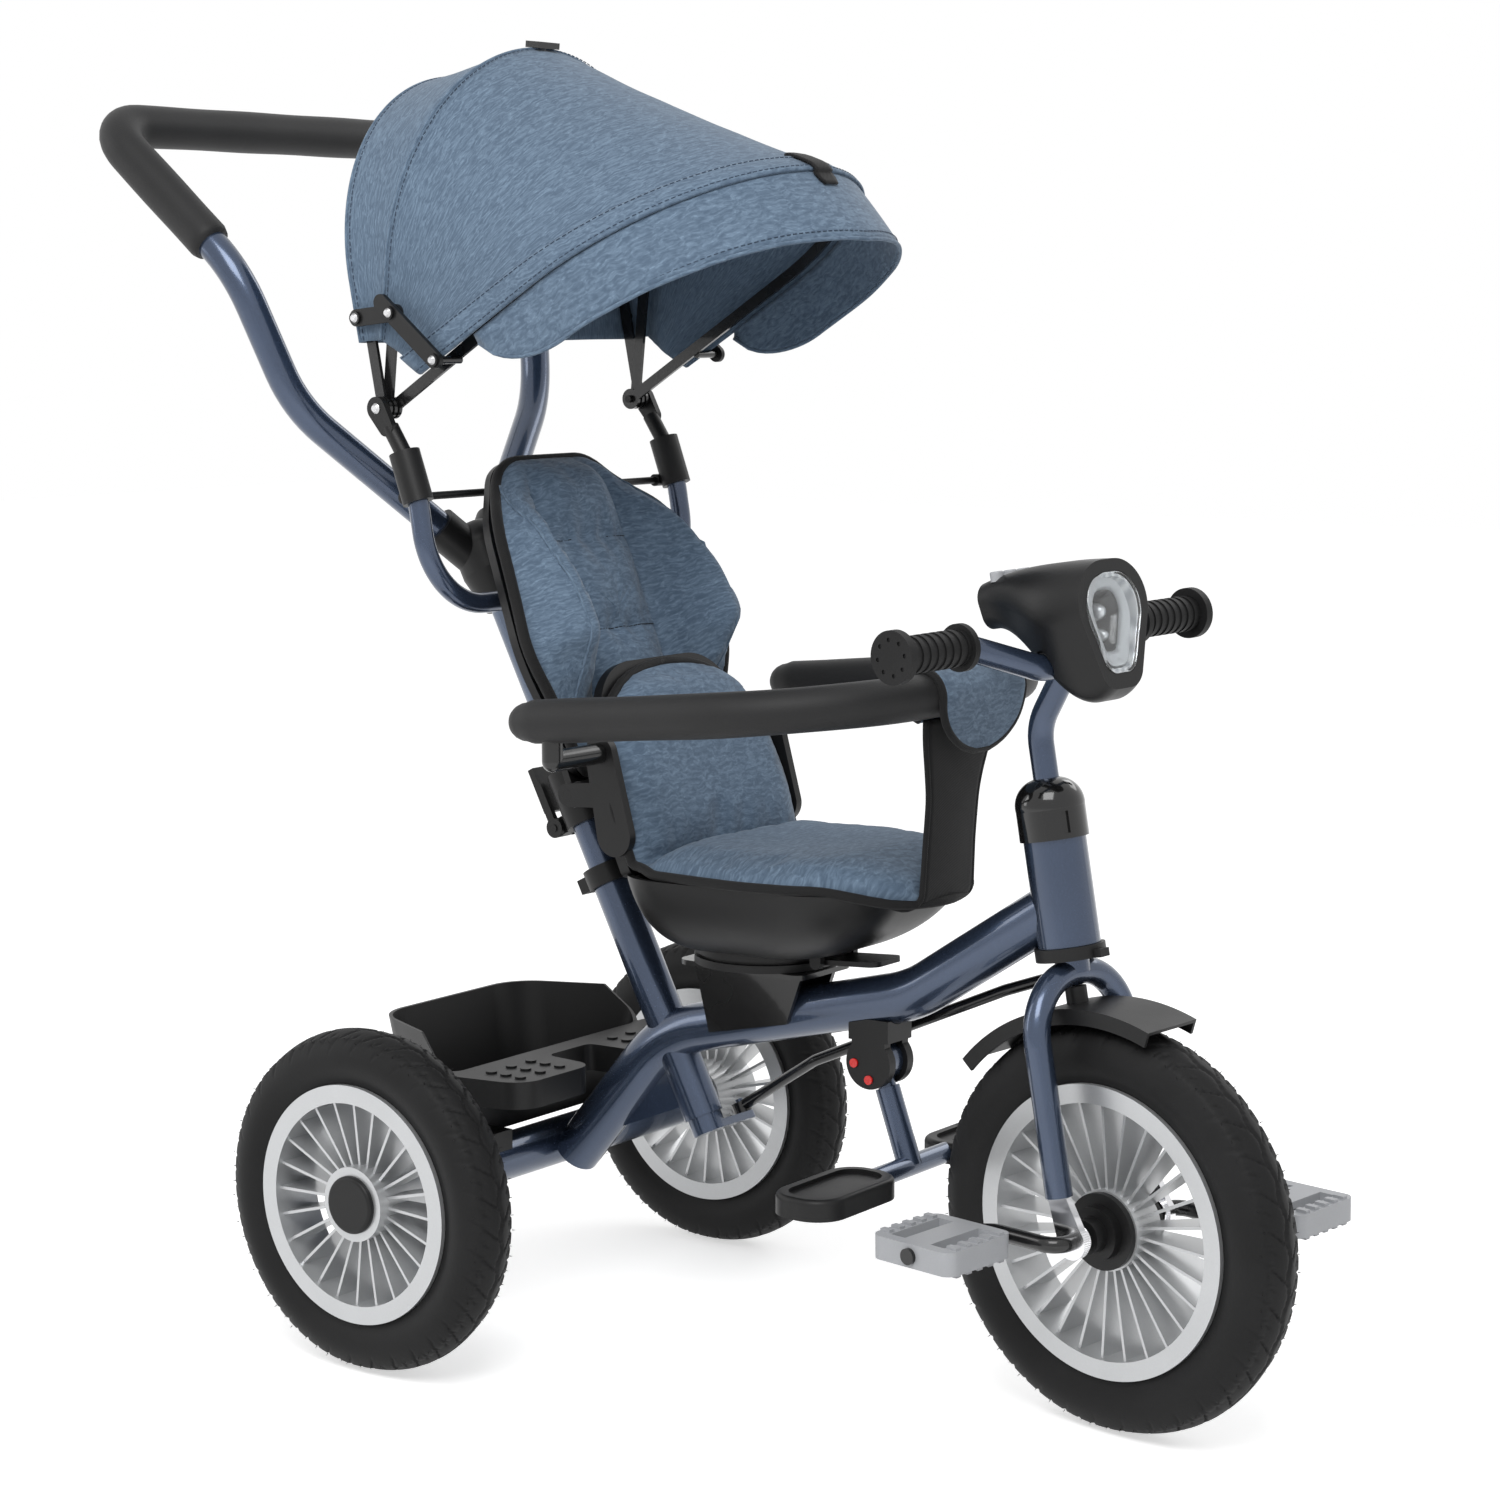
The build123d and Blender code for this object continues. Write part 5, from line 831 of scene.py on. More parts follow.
class TRIKE_OT_canopy(bpy.types.Operator):
    """Sew the canopy: cover, seam welts, front band and visor"""

    bl_idname = "trike.canopy"
    bl_label = "Canopy"

    def execute(self, context):
        size = context.scene.trike_sizes
        points, faces, weave = canopy_sheet()
        cover = piece("canopy_cloth", points, faces, "fabric", weave)
        flip_out(cover, place(CANOPY_HINGE[0], 0, CANOPY_HINGE[1] + 130))
        thickened(cover, size.cloth)
        fold_with_canopy(cover, "fabric", "canopy_cover")
        self.add_welts(size)
        self.add_band(size)
        self.add_visor(size)
        self.add_keeper()
        return {"FINISHED"}

    def add_welts(self, size):
        """Rounded welts over the middle and rear bows, each with a row of stitches behind it."""
        parts = []
        spots = []
        for bow, ahead in ((MID_BOW, 0.0), (REAR_BOW, -5.5)):
            path = [cover_point(i / 160, bow, 0.2, ahead) for i in range(161)]
            parts.append(tube(path, 0.0013, 8))
            row = [cover_point(i / 160, bow, -0.25, ahead + 4.0) for i in range(161)]
            spots += stitch_row(row, size.stitch)
        points, faces, weave = joined(parts)
        welts = recalculated(piece("canopy_welts", points, faces, "fabric", weave))
        fold_with_canopy(welts, "fabric")
        thread = studded("canopy_stitches", spots, "thread", size.stitch * 0.62, size.thread, "thread")
        fold_with_canopy(thread, "fabric")

    def add_band(self, size):
        """Folded band along the front arch, with its edge stitching."""
        columns = CANOPY_COLUMNS
        points = []
        weave = []
        for i in range(columns):
            share = i / (columns - 1)
            rear = cover_point(share, MID_BOW)
            front = cover_point(share, FRONT_BOW)
            back = (rear - front).normalized()
            outward = self.outward(share)
            for along, lift in BAND_PROFILE:
                spot = front + back * (-along * MM) + outward * (lift * MM)
                points.append(spot)
                weave.append((share * 0.9, along * MM))
        band = piece("canopy_band", points, grid_faces(columns, len(BAND_PROFILE)), "fabric", weave)
        flip_out(band, place(CANOPY_HINGE[0] + 60, 0, CANOPY_HINGE[1] + 60))
        thickened(band, 0.0009)
        fold_with_canopy(band, "fabric")
        rows = []
        for along in BAND_SEAMS:
            path = []
            for i in range(161):
                share = i / 160
                front = cover_point(share, FRONT_BOW)
                back = (cover_point(share, MID_BOW) - front).normalized()
                path.append(front - back * (along * MM) + self.outward(share) * (2.15 * MM))
            rows += stitch_row(path, size.stitch)
        thread = studded("band_stitches", rows, "thread", size.stitch * 0.62, size.thread, "thread")
        fold_with_canopy(thread, "fabric")

    def outward(self, share):
        """Direction out of the cover at its front edge."""
        after = cover_point(min(1.0, share + 0.004), FRONT_BOW)
        ahead = after - cover_point(max(0.0, share - 0.004), FRONT_BOW)
        back = cover_point(share, MID_BOW) - cover_point(share, FRONT_BOW)
        return back.cross(ahead).normalized() * -1

    def add_visor(self, size):
        """Stiffened brim that leaves the band forward and down, rounded at its ends, deepest in the middle."""
        half = CANOPY_HALF - 3.5
        length = FRONT_BOW[1] - 3.5
        run = 2 * (length - half - VISOR_FOOT) + math.pi * half
        columns = 121
        rows = 13
        points = []
        weave = []
        for i in range(columns):
            share = i / (columns - 1)
            across, up = arch(share, half, length, VISOR_FOOT)
            reach = self.visor_reach(run * min(share, 1 - share), run / 2)
            root = bow_point(VISOR_BOW, across, up, 3.0)
            for k in range(rows):
                part = k / (rows - 1)
                out = reach * part
                spot = root + Vector((FOLD * out, 0.0, -FOLD * out - 4.0 * part * part)) * MM
                spot.y -= math.copysign(3.0 * part * part * smooth(0, 60, abs(across)), across) * MM
                spot.z += ripple(spot, 0.05, 1.2) * part * MM
                points.append(spot)
                weave.append((run * share * MM, out * MM))
        visor = piece("visor_cloth", points, grid_faces(columns, rows), "fabric", weave)
        flip_out(visor, place(CANOPY_HINGE[0] + 240, 0, CANOPY_HINGE[1] + 30))
        thickened(visor, 0.0022, 0.0)
        area = round(self.area(points, columns, rows), 4)
        dress(visor, "canopy_front", "fabric", "canopy_visor")
        edge = [points[i * rows + rows - 1] for i in range(columns)]
        hem = tube_piece("visor_hem", edge, 0.0017, "fabric", 8)
        dress(hem, "canopy_front", "fabric")
        seam = [points[i * rows + rows - 2] for i in range(columns)]
        spots = stitch_row(seam, size.stitch, Vector((0.0013, 0.0, 0.0013)))
        thread = studded("visor_stitches", spots, "thread", size.stitch * 0.62, size.thread, "thread")
        dress(thread, "canopy_front", "fabric")

    def visor_reach(self, from_end, middle):
        """How far the brim stands out: a quarter round at its ends, then slowly deeper to its middle."""
        lobe = min(1.0, from_end / VISOR_LOBE)
        deeper = max(0.0, from_end - VISOR_LOBE) / (middle - VISOR_LOBE)
        return max(3.0, VISOR_SIDE * math.sqrt(1 - (1 - lobe) ** 2) + VISOR_EXTRA * deeper ** 1.2)

    def add_keeper(self):
        """Black keeper strap over the middle of the band, turned down over the root of the visor."""
        front = cover_point(0.5, FRONT_BOW)
        back = (cover_point(0.5, MID_BOW) - front).normalized()
        rise = self.outward(0.5)
        line = [front + back * (along * MM) + rise * (lift * MM) for along, lift in KEEPER_LINE]
        root = bow_point(VISOR_BOW, 0.0, FRONT_BOW[1] - 3.5, 3.0)
        for out in (6.0, 13.0, 19.0):
            line.append(root + Vector((FOLD * out + 2.2, 0.0, 2.2 - FOLD * out)) * MM)
        path = resampled(line, 0.003)
        points = []
        weave = []
        for i, spot in enumerate(path):
            for k in range(7):
                share = -1 + k / 3
                rounded = 1 - 0.25 * max(0.0, 1 - min(i, len(path) - 1 - i) / 2)
                points.append(spot + Vector((0.0, KEEPER_HALF * share * rounded, -0.35 * share * share)) * MM)
                weave.append((KEEPER_HALF * share * MM, i * 0.003))
        keeper = piece("canopy_keeper", points, grid_faces(len(path), 7), "black_fabric", weave)
        flip_out(keeper, place(CANOPY_HINGE[0] + 200, 0, CANOPY_HINGE[1] + 60))
        thickened(keeper, 0.0018, 0.0)
        fold_with_canopy(keeper, "black_fabric")

    def area(self, points, columns, rows):
        total = 0.0
        for i in range(columns - 1):
            for k in range(rows - 1):
                a = points[i * rows + k]
                b = points[(i + 1) * rows + k]
                c = points[i * rows + k + 1]
                total += (b - a).cross(c - a).length
        return total


def flip_out(made, inside):
    """Faces turned away from a point inside the sheet's hollow."""
    total = 0.0
    for face in made.data.polygons:
        total += face.normal.dot(face.center - inside) * face.area
    if total < 0:
        made.data.flip_normals()
    return made


# Padding
def leaning(foot, lean, ahead, across, up):
    """Point in a leaning panel's own directions."""
    turn = math.radians(lean)
    x = foot[0] + ahead * math.cos(turn) - up * math.sin(turn)
    z = foot[1] + ahead * math.sin(turn) + up * math.cos(turn)
    return place(x, across, z)


def outline_loop(corners, radii, count):
    """Closed rounded outline as points, evenly spaced."""
    ring = [Vector((*p, 0.0)) for p in corners]
    total = len(ring)
    path = []
    for i in range(total):
        before = ring[i - 1]
        corner = ring[i]
        after = ring[(i + 1) % total]
        run = rounded_path([before, corner, after], [radii[i]], 10)
        path += run[1:-1]
    path.append(path[0])
    points = resampled(path, sum((b - a).length for a, b in zip(path, path[1:])) / count)
    return points[:count]


def stuffed(made, held, pressure, cap, slack=0.0):
    """Cloth simulation of a filled cover: held is each point's share of pinning, cap the most it may move."""
    group = made.vertex_groups.new(name="held")
    for index, weight in enumerate(held):
        group.add([index], weight, "REPLACE")
    rest = [v.co.copy() for v in made.data.vertices]
    cloth = made.modifiers.new("stuffing", "CLOTH")
    cloth.settings.quality = 5
    cloth.settings.mass = 0.2
    cloth.settings.tension_stiffness = 12
    cloth.settings.compression_stiffness = 12
    cloth.settings.shear_stiffness = 4
    cloth.settings.bending_stiffness = 0.4
    cloth.settings.use_pressure = True
    cloth.settings.uniform_pressure_force = pressure
    cloth.settings.shrink_min = -slack
    cloth.settings.vertex_group_mass = "held"
    cloth.settings.pin_stiffness = 2.0
    cloth.settings.effector_weights.gravity = 0.0
    cloth.collision_settings.use_collision = False
    cloth.collision_settings.use_self_collision = False
    scene = bpy.context.scene
    for step in range(1, 21):
        scene.frame_set(step)
    graph = bpy.context.evaluated_depsgraph_get()
    moved = [v.co.copy() for v in made.evaluated_get(graph).data.vertices]
    made.modifiers.clear()
    made.vertex_groups.clear()
    for vertex, old, new in zip(made.data.vertices, rest, moved):
        shift = new - old
        if shift.length > cap:
            shift *= cap / shift.length
        vertex.co = old + shift
    scene.frame_set(1)
    made.data.update()
    return made


BACK_CORNERS = [
    (-81.8, 0.0), (81.8, 0.0), (124.0, 92.0), (106.6, 199.7), (52.0, 256.0), (-52.0, 256.0), (-106.6, 199.7),
    (-124.0, 92.0),
]
BACK_RADII = [30, 30, 70, 60, 42, 42, 60, 70]
BACK_CENTRE = (0.0, 122.0)
WING_DEPTH = [
    (0.0, 32.0), (48.0, 38.0), (74.0, 61.0), (100.0, 80.0), (132.0, 77.0), (182.0, 60.0), (216.0, 48.0),
    (256.0, 36.0),
]
CREST = [(0.0, 0.80), (60.0, 0.76), (110.0, 0.77), (182.0, 0.82), (225.0, 0.92), (256.0, 0.99)]
VALLEY = [(0.0, 0.50), (80.0, 0.44), (180.0, 0.48), (256.0, 0.62)]
BACK_WIDTH = [
    (0.0, 92.0), (30.0, 106.0), (92.0, 121.0), (150.0, 116.0), (200.0, 101.0), (240.0, 72.0), (256.0, 40.0),
]
TUFT_ROWS = (108.0, 183.0)
BACK_MIDDLE = 28.0
EDGE_ROLL = 0.78


def back_half(up):
    """Half width of the backrest's outline at a height."""
    return between(BACK_WIDTH, up)


def back_edge(across):
    """How far ahead of the shell's rear face the cushion's bound edge lies."""
    return 7.5 + 25.0 * smooth(60.0, 124.0, abs(across))


def back_front(across, up):
    """How far ahead of the shell's rear face the front stands: a tufted hollow between two wings."""
    share = min(1.0, abs(across) / back_half(up))
    crest = between(CREST, up)
    valley = between(VALLEY, up)
    wing = between(WING_DEPTH, up)
    seam = min(abs(up - row) for row in TUFT_ROWS)
    crease = 3.2 * math.exp(-((share - valley) / 0.06) ** 2) * smooth(252.0, 215.0, up)
    if share < valley:
        inset = smooth(0.0, 0.30, valley - share)
        puff = 9.5 * (1 - math.exp(-seam / 12.0)) * inset
        pucker = 1.9 * math.sin(across / 3.8) * math.exp(-seam / 9.0) * inset
        return BACK_MIDDLE + puff + pucker - crease
    if share < crest:
        part = (share - valley) / (crest - valley)
        bulge = 0.17 * (wing - BACK_MIDDLE) * math.sin(math.pi * part)
        pucker = 1.6 * math.sin(up / 5.5) * math.exp(-part * 5) * smooth(0.0, 0.15, part)
        return BACK_MIDDLE + (wing - BACK_MIDDLE) * smooth(0.0, 1.0, part) + bulge + pucker - crease
    part = (share - crest) / max(1e-6, 1 - crest)
    return wing - 1.8 * math.exp(-(part / 0.10) ** 2)


def back_skin(across, up, share):
    """The cushion's front with its edge rolled back to the binding, share of the way out from its middle."""
    front = back_front(across, up)
    edge = back_edge(across) + 8.0
    roll = max(0.0, (share - EDGE_ROLL) / (1 - EDGE_ROLL))
    return edge + (front - edge) * (1 - roll ** 1.8)


def ring_share(ring, across, up):
    """How far out from the cushion's middle a point lies, 1 on its outline."""
    cx, cz = BACK_CENTRE
    want = math.atan2(up - cz, across - cx)

    def turn(spot):
        return abs(math.remainder(math.atan2(spot.y - cz, spot.x - cx) - want, math.tau))

    near = min(ring, key=turn)
    return math.hypot(across - cx, up - cz) / math.hypot(near.x - cx, near.y - cz)


class TRIKE_OT_backrest(bpy.types.Operator):
    """Stuff the winged backrest and bind its edge"""

    bl_idname = "trike.backrest"
    bl_label = "Backrest cushion"

    def execute(self, context):
        size = context.scene.trike_sizes
        ring = outline_loop(BACK_CORNERS, BACK_RADII, 150)
        rows = []
        held = []
        cx, cz = BACK_CENTRE
        for k in range(1, 35):
            share = k / 34
            row = []
            for spot in ring:
                across = (cx + (spot.x - cx) * share) * 0.985
                up = cz + (spot.y - cz) * share
                row.append(leaning(BACK_FOOT, BACK_LEAN, back_skin(across, up, share), across, up))
                held.append(self.pin(across, up, share))
            rows.append(row)
        for part in (0.4, 1.0):
            row = []
            for spot in ring:
                ahead = back_edge(spot.x) + 8.0 * (1 - part)
                row.append(leaning(BACK_FOOT, BACK_LEAN, ahead, spot.x * 0.985, spot.y))
                held.append(1.0)
            rows.append(row)
        for share in (0.8, 0.5, 0.2):
            row = []
            for spot in ring:
                across = spot.x * share * 0.985
                up = cz + (spot.y - cz) * share
                row.append(leaning(BACK_FOOT, BACK_LEAN, back_edge(across), across, up))
                held.append(1.0)
            rows.append(row)
        points = [spot for row in rows for spot in row]
        weave = self.weave(ring, rows)
        count = len(ring)
        faces = grid_faces(len(rows), count, True)
        front_pole = len(points)
        points.append(leaning(BACK_FOOT, BACK_LEAN, back_front(cx, cz), cx, cz))
        points.append(leaning(BACK_FOOT, BACK_LEAN, back_edge(cx), cx, cz))
        weave += [(0.0, cz * MM), (0.0, cz * MM)]
        held += [0.0, 1.0]
        last = (len(rows) - 1) * count
        faces += [(front_pole, (k + 1) % count, k) for k in range(count)]
        faces += [(front_pole + 1, last + k, last + (k + 1) % count) for k in range(count)]
        cushion = recalculated(piece("backrest_cushion", points, faces, "fabric", weave))
        stuffed(cushion, held, 3.0, 0.005, 0.02)
        dress(cushion, "backrest", "fabric", "backrest_pad")
        self.add_piping(ring)
        self.add_seams(ring, size)
        return {"FINISHED"}

    def weave(self, ring, rows):
        """Weave coordinates measured along the cushion's skin, outwards from its middle."""
        cx, cz = BACK_CENTRE
        out = [Vector((spot.x - cx, spot.y - cz)).normalized() for spot in ring]
        middle = leaning(BACK_FOOT, BACK_LEAN, back_front(cx, cz), cx, cz)
        runs = [0.0] * len(ring)
        before = [middle] * len(ring)
        weave = []
        for row in rows:
            runs = [run + (spot - old).length for run, spot, old in zip(runs, row, before)]
            before = row
            weave += [(way.x * run, way.y * run + cz * MM) for way, run in zip(out, runs)]
        return weave

    def pin(self, across, up, share):
        """Pinning of a point of the front: firm along every seam and at the edge."""
        width = abs(across) / back_half(up)
        near_crest = math.exp(-((width - between(CREST, up)) * 110 / 5.0) ** 2)
        near_valley = math.exp(-((width - between(VALLEY, up)) * 110 / 5.0) ** 2)
        tuft = 0.0
        if width < between(VALLEY, up):
            tuft = max(math.exp(-((up - row) / 4.0) ** 2) for row in TUFT_ROWS)
        return min(1.0, max(near_crest, near_valley, tuft, smooth(0.93, 1.0, share)))

    def add_piping(self, ring):
        """Black binding round the rear edge of the cushion."""
        path = [leaning(BACK_FOOT, BACK_LEAN, back_edge(spot.x) + 4.0, spot.x, spot.y) for spot in ring]
        binding = tube_piece("backrest_piping", path, 0.0046, "black_fabric", 12, True)
        dress(binding, "backrest", "black_fabric")

    def skin_point(self, ring, across, up, proud):
        ahead = back_skin(across, up, ring_share(ring, across, up)) + proud
        return leaning(BACK_FOOT, BACK_LEAN, ahead, across, up)

    def add_seams(self, ring, size):
        """Thin self piping along the crest of each wing, and thread in the two tufted rows."""
        parts = []
        spots = []
        for side in (-1, 1):
            crest = []
            for i in range(61):
                up = 30.0 + 204.0 * i / 60
                across = side * back_half(up) * between(CREST, up)
                crest.append(self.skin_point(ring, across, up, 0.7))
            parts.append(tube(crest, 0.0013, 8))
        points, faces, weave = joined(parts)
        welt = recalculated(piece("wing_piping", points, faces, "fabric", weave))
        dress(welt, "backrest", "fabric")
        for up in TUFT_ROWS:
            reach = back_half(up) * between(VALLEY, up) * 0.94
            row = [self.skin_point(ring, -reach + 2 * reach * i / 40, up, 0.5) for i in range(41)]
            spots += stitch_row(row, size.stitch * 0.8)
        thread = studded("backrest_stitches", spots, "dark_thread", size.stitch * 0.6, size.thread, "thread")
        dress(thread, "backrest", "fabric")


# Seat
SEAT_BACK_LEN = 152.0
SEAT_LEN = 214.0


def seat_line(run):
    """Point and outward direction of the seat's side view, from the low back's top to the front edge."""
    turn = math.radians(LOW_BACK_LEAN)
    up = Vector((-math.sin(turn), 0.0, math.cos(turn)))
    out = Vector((math.cos(turn), 0.0, math.sin(turn)))
    foot = Vector((LOW_BACK_FOOT[0] + 1.2, 0.0, SEAT_RIM + 1.0))
    if run < SEAT_BACK_LEN:
        return foot + up * (SEAT_BACK_LEN - run + 6.0), out
    ahead = run - SEAT_BACK_LEN
    bend = smooth(0.0, 26.0, ahead)
    straight = foot + Vector((1.0, 0.0, 0.0)) * ahead
    droop = 13.0 * smooth(150.0, SEAT_LEN, ahead) ** 1.5
    normal = (out * (1 - bend) + Vector((0.0, 0.0, 1.0)) * bend).normalized()
    lean = smooth(160.0, SEAT_LEN, ahead) * 0.9
    normal = (normal + Vector((lean, 0.0, 0.0))).normalized()
    return straight + Vector((0.0, 0.0, 6.0 * (1 - bend) - droop)), normal


SEAT_WIDTH = [
    (0.0, 6.0), (4.0, 34.0), (14.0, 60.0), (34.0, 84.0), (70.0, 102.0), (110.0, 107.0), (152.0, 104.0),
    (180.0, 109.0), (240.0, 110.0), (290.0, 102.0), (325.0, 84.0), (348.0, 58.0), (360.0, 32.0), (366.0, 6.0),
]


def seat_height(run, share):
    """Thickness of the cushion at a place along and across."""
    edge = (1 - abs(share) ** 5) ** 0.5
    back = 16.0 if run < SEAT_BACK_LEN else 17.0
    ends = smooth(0.0, 30.0, run) ** 0.6 * smooth(0.0, 26.0, 366.0 - run) ** 0.6
    crease = 1 - 0.72 * math.exp(-((run - SEAT_BACK_LEN - 6.0) / 9.0) ** 2)
    fold = 0.9 * math.sin(run / 21.0 + share * 2.0) * edge
    return 3.0 + back * edge * ends * crease + fold * ends


class TRIKE_OT_seat(bpy.types.Operator):
    """Stuff the seat cushion with its low back, bind its edge and hang the crotch strap"""

    bl_idname = "trike.seat"
    bl_label = "Seat cushion and strap"

    def execute(self, context):
        size = context.scene.trike_sizes
        rows = 92
        columns = 41
        points = []
        weave = []
        held = []
        for side in (1, -1):
            for i in range(rows):
                run = 366.0 * i / (rows - 1)
                base, out = seat_line(run)
                width = between(SEAT_WIDTH, run)
                for k in range(columns):
                    share = -1 + 2 * k / (columns - 1)
                    lift = seat_height(run, share) if side > 0 else 0.4
                    spot = base + out * lift
                    points.append(place(spot.x, width * share, spot.z))
                    weave.append((width * share * MM, run * MM))
                    held.append(self.pin(run, share) if side > 0 else 1.0)
        faces = grid_faces(rows, columns)
        under = grid_faces(rows, columns, False, rows * columns)
        faces += [tuple(reversed(face)) for face in under]
        faces += self.edge_faces(rows, columns)
        cushion = recalculated(piece("seat_cushion", points, faces, "fabric", weave))
        stuffed(cushion, held, 2.5, 0.004, 0.02)
        dress(cushion, "seat", "fabric", "seat_pad")
        self.add_piping(size)
        self.add_strap()
        return {"FINISHED"}

    def edge_faces(self, rows, columns):
        """Narrow wall between the cushion's upper and lower skins."""
        base = rows * columns
        rim = [i * columns for i in range(rows)]
        rim += [(rows - 1) * columns + k for k in range(1, columns)]
        rim += [i * columns + columns - 1 for i in range(rows - 2, -1, -1)]
        rim += [k for k in range(columns - 2, 0, -1)]
        return [(a, b, base + b, base + a) for a, b in zip(rim, rim[1:] + rim[:1])]

    def pin(self, run, share):
        crease = math.exp(-((run - SEAT_BACK_LEN - 6.0) / 7.0) ** 2)
        edge = smooth(0.86, 1.0, abs(share))
        ends = 1 - smooth(4.0, 16.0, min(run, 366.0 - run))
        return min(1.0, max(crease, edge, ends))

    def rim_path(self, lift):
        """The cushion's outline at a height above the shell."""
        path = []
        runs = [366.0 * i / 120 for i in range(121)]
        for side, order in ((-1, runs), (1, list(reversed(runs)))):
            for run in order:
                base, out = seat_line(run)
                spot = base + out * lift
                path.append(place(spot.x, side * (between(SEAT_WIDTH, run) + 0.6), spot.z))
        return resampled(path + path[:1], 0.004)[:-1]

    def add_piping(self, size):
        binding = tube_piece("seat_piping", self.rim_path(2.4), size.piping * 1.1, "black_fabric", 12, True)
        dress(binding, "seat", "black_fabric")

    def add_strap(self):
        """Wide padded strap from under the seat's front edge up to the bar."""
        line = [
            Vector((352.0, 0.0, 376.0)), Vector((371.0, 0.0, 371.0)), Vector((382.0, 0.0, 380.0)),
            Vector((384.0, 0.0, 420.0)), Vector((388.0, 0.0, 470.0)), Vector((393.0, 0.0, 515.5)),
        ]
        path = resampled(rounded_path(line, [14, 10, 60, 60], 8), 4.0)
        count = len(path)
        columns = 13
        points = []
        weave = []
        rims = ([], [])
        for i, spot in enumerate(path):
            part = i / (count - 1)
            half = 35.0 + 6.0 * (1 - smooth(0.0, 0.2, part)) + 11.0 * smooth(0.6, 1.0, part)
            half -= 3.0 * math.sin(math.pi * part)
            for k in range(columns):
                share = -1 + 2 * k / (columns - 1)
                crown = 2.0 * (1 - share * share) * math.sin(math.pi * part)
                points.append(place(spot.x + crown, half * share, spot.z))
                weave.append((half * share * MM, part * 0.16))
            for side, rim in zip((-1, 1), rims):
                rim.append(place(spot.x, side * half, spot.z))
        strap = piece("crotch_strap_cloth", points, grid_faces(count, columns), "black_fabric", weave)
        flip_out(strap, place(300, 0, 440))
        thickened(strap, 0.0032, 0.0)
        dress(strap, "seat", "black_fabric", "crotch_strap")
        points, faces, weave = joined([tube(rim, 0.0023, 8) for rim in rims])
        binding = recalculated(piece("strap_binding", points, faces, "black_fabric", weave))
        dress(binding, "seat", "black_fabric")


# Foam
SAFETY_BEND = 128.0
FLAP_HALF = 52.0
FLAP_LENGTH = 124.0
FLAP_TONGUE = 80.0
FLAP_RADIUS = 18.4


def safety_path():
    corners = []
    for x, y, z in (
        (SAFETY_REAR[0], -SAFETY_HALF, SAFETY_REAR[1]), (SAFETY_FRONT[0], -SAFETY_HALF, SAFETY_FRONT[1]),
        (SAFETY_FRONT[0], SAFETY_HALF, SAFETY_FRONT[1]), (SAFETY_REAR[0], SAFETY_HALF, SAFETY_REAR[1]),
    ):
        corners.append(place(x, y, z))
    return resampled(rounded_path(corners, [SAFETY_BEND * MM] * 2, 24), 0.006)


def handle_path():
    """Line of the push handle's foam, from the near arm over the crossbar to the far arm."""
    low = [(-166.0, 178.0, 840.0), (-300.0, 190.0, 956.0)]
    start = [a + (b - a) * 0.18 for a, b in zip(*low)]
    corners = [place(*start), place(*low[1])]
    mirrored = [Vector((p.x, -p.y, p.z)) for p in reversed(corners)]
    return resampled(rounded_path(corners + mirrored, [0.034, 0.034], 16), 0.005)


def sleeve(name, path, radius, round_ends):
    """Foam sleeve with a slightly uneven skin, rounded or squared ends."""
    count = len(path)
    length = sum((b - a).length for a, b in zip(path, path[1:]))

    def size(share):
        from_end = min(share, 1 - share) * length
        swell = 1 + 0.012 * math.sin(share * 37.0) * smooth(0.0, 0.05, from_end)
        if from_end < 0.004:
            return radius * (0.90 + 0.10 * smooth(0.0, 0.004, from_end))
        return radius * swell

    points, faces, weave = tube(path, size, 28, False, not round_ends)
    if round_ends:
        for index, sign in ((0, -1), (count - 1, 1)):
            along = (path[1] - path[0]).normalized() if index == 0 else (path[-1] - path[-2]).normalized()
            base = index * 28
            ring = list(range(base, base + 28))
            for step in range(1, 6):
                turn = math.pi / 2 * step / 6
                fresh = []
                for k in range(28):
                    spoke = points[base + k] - path[index]
                    fresh.append(len(points))
                    dome = along * (sign * radius * math.sin(turn))
                    points.append(path[index] + spoke * math.cos(turn) + dome)
                    weave.append((0.0, 0.0))
                faces += [(ring[k], ring[(k + 1) % 28], fresh[(k + 1) % 28], fresh[k]) for k in range(28)]
                ring = fresh
            faces.append(tuple(ring))
    return recalculated(piece(name, points, faces, "foam", weave))


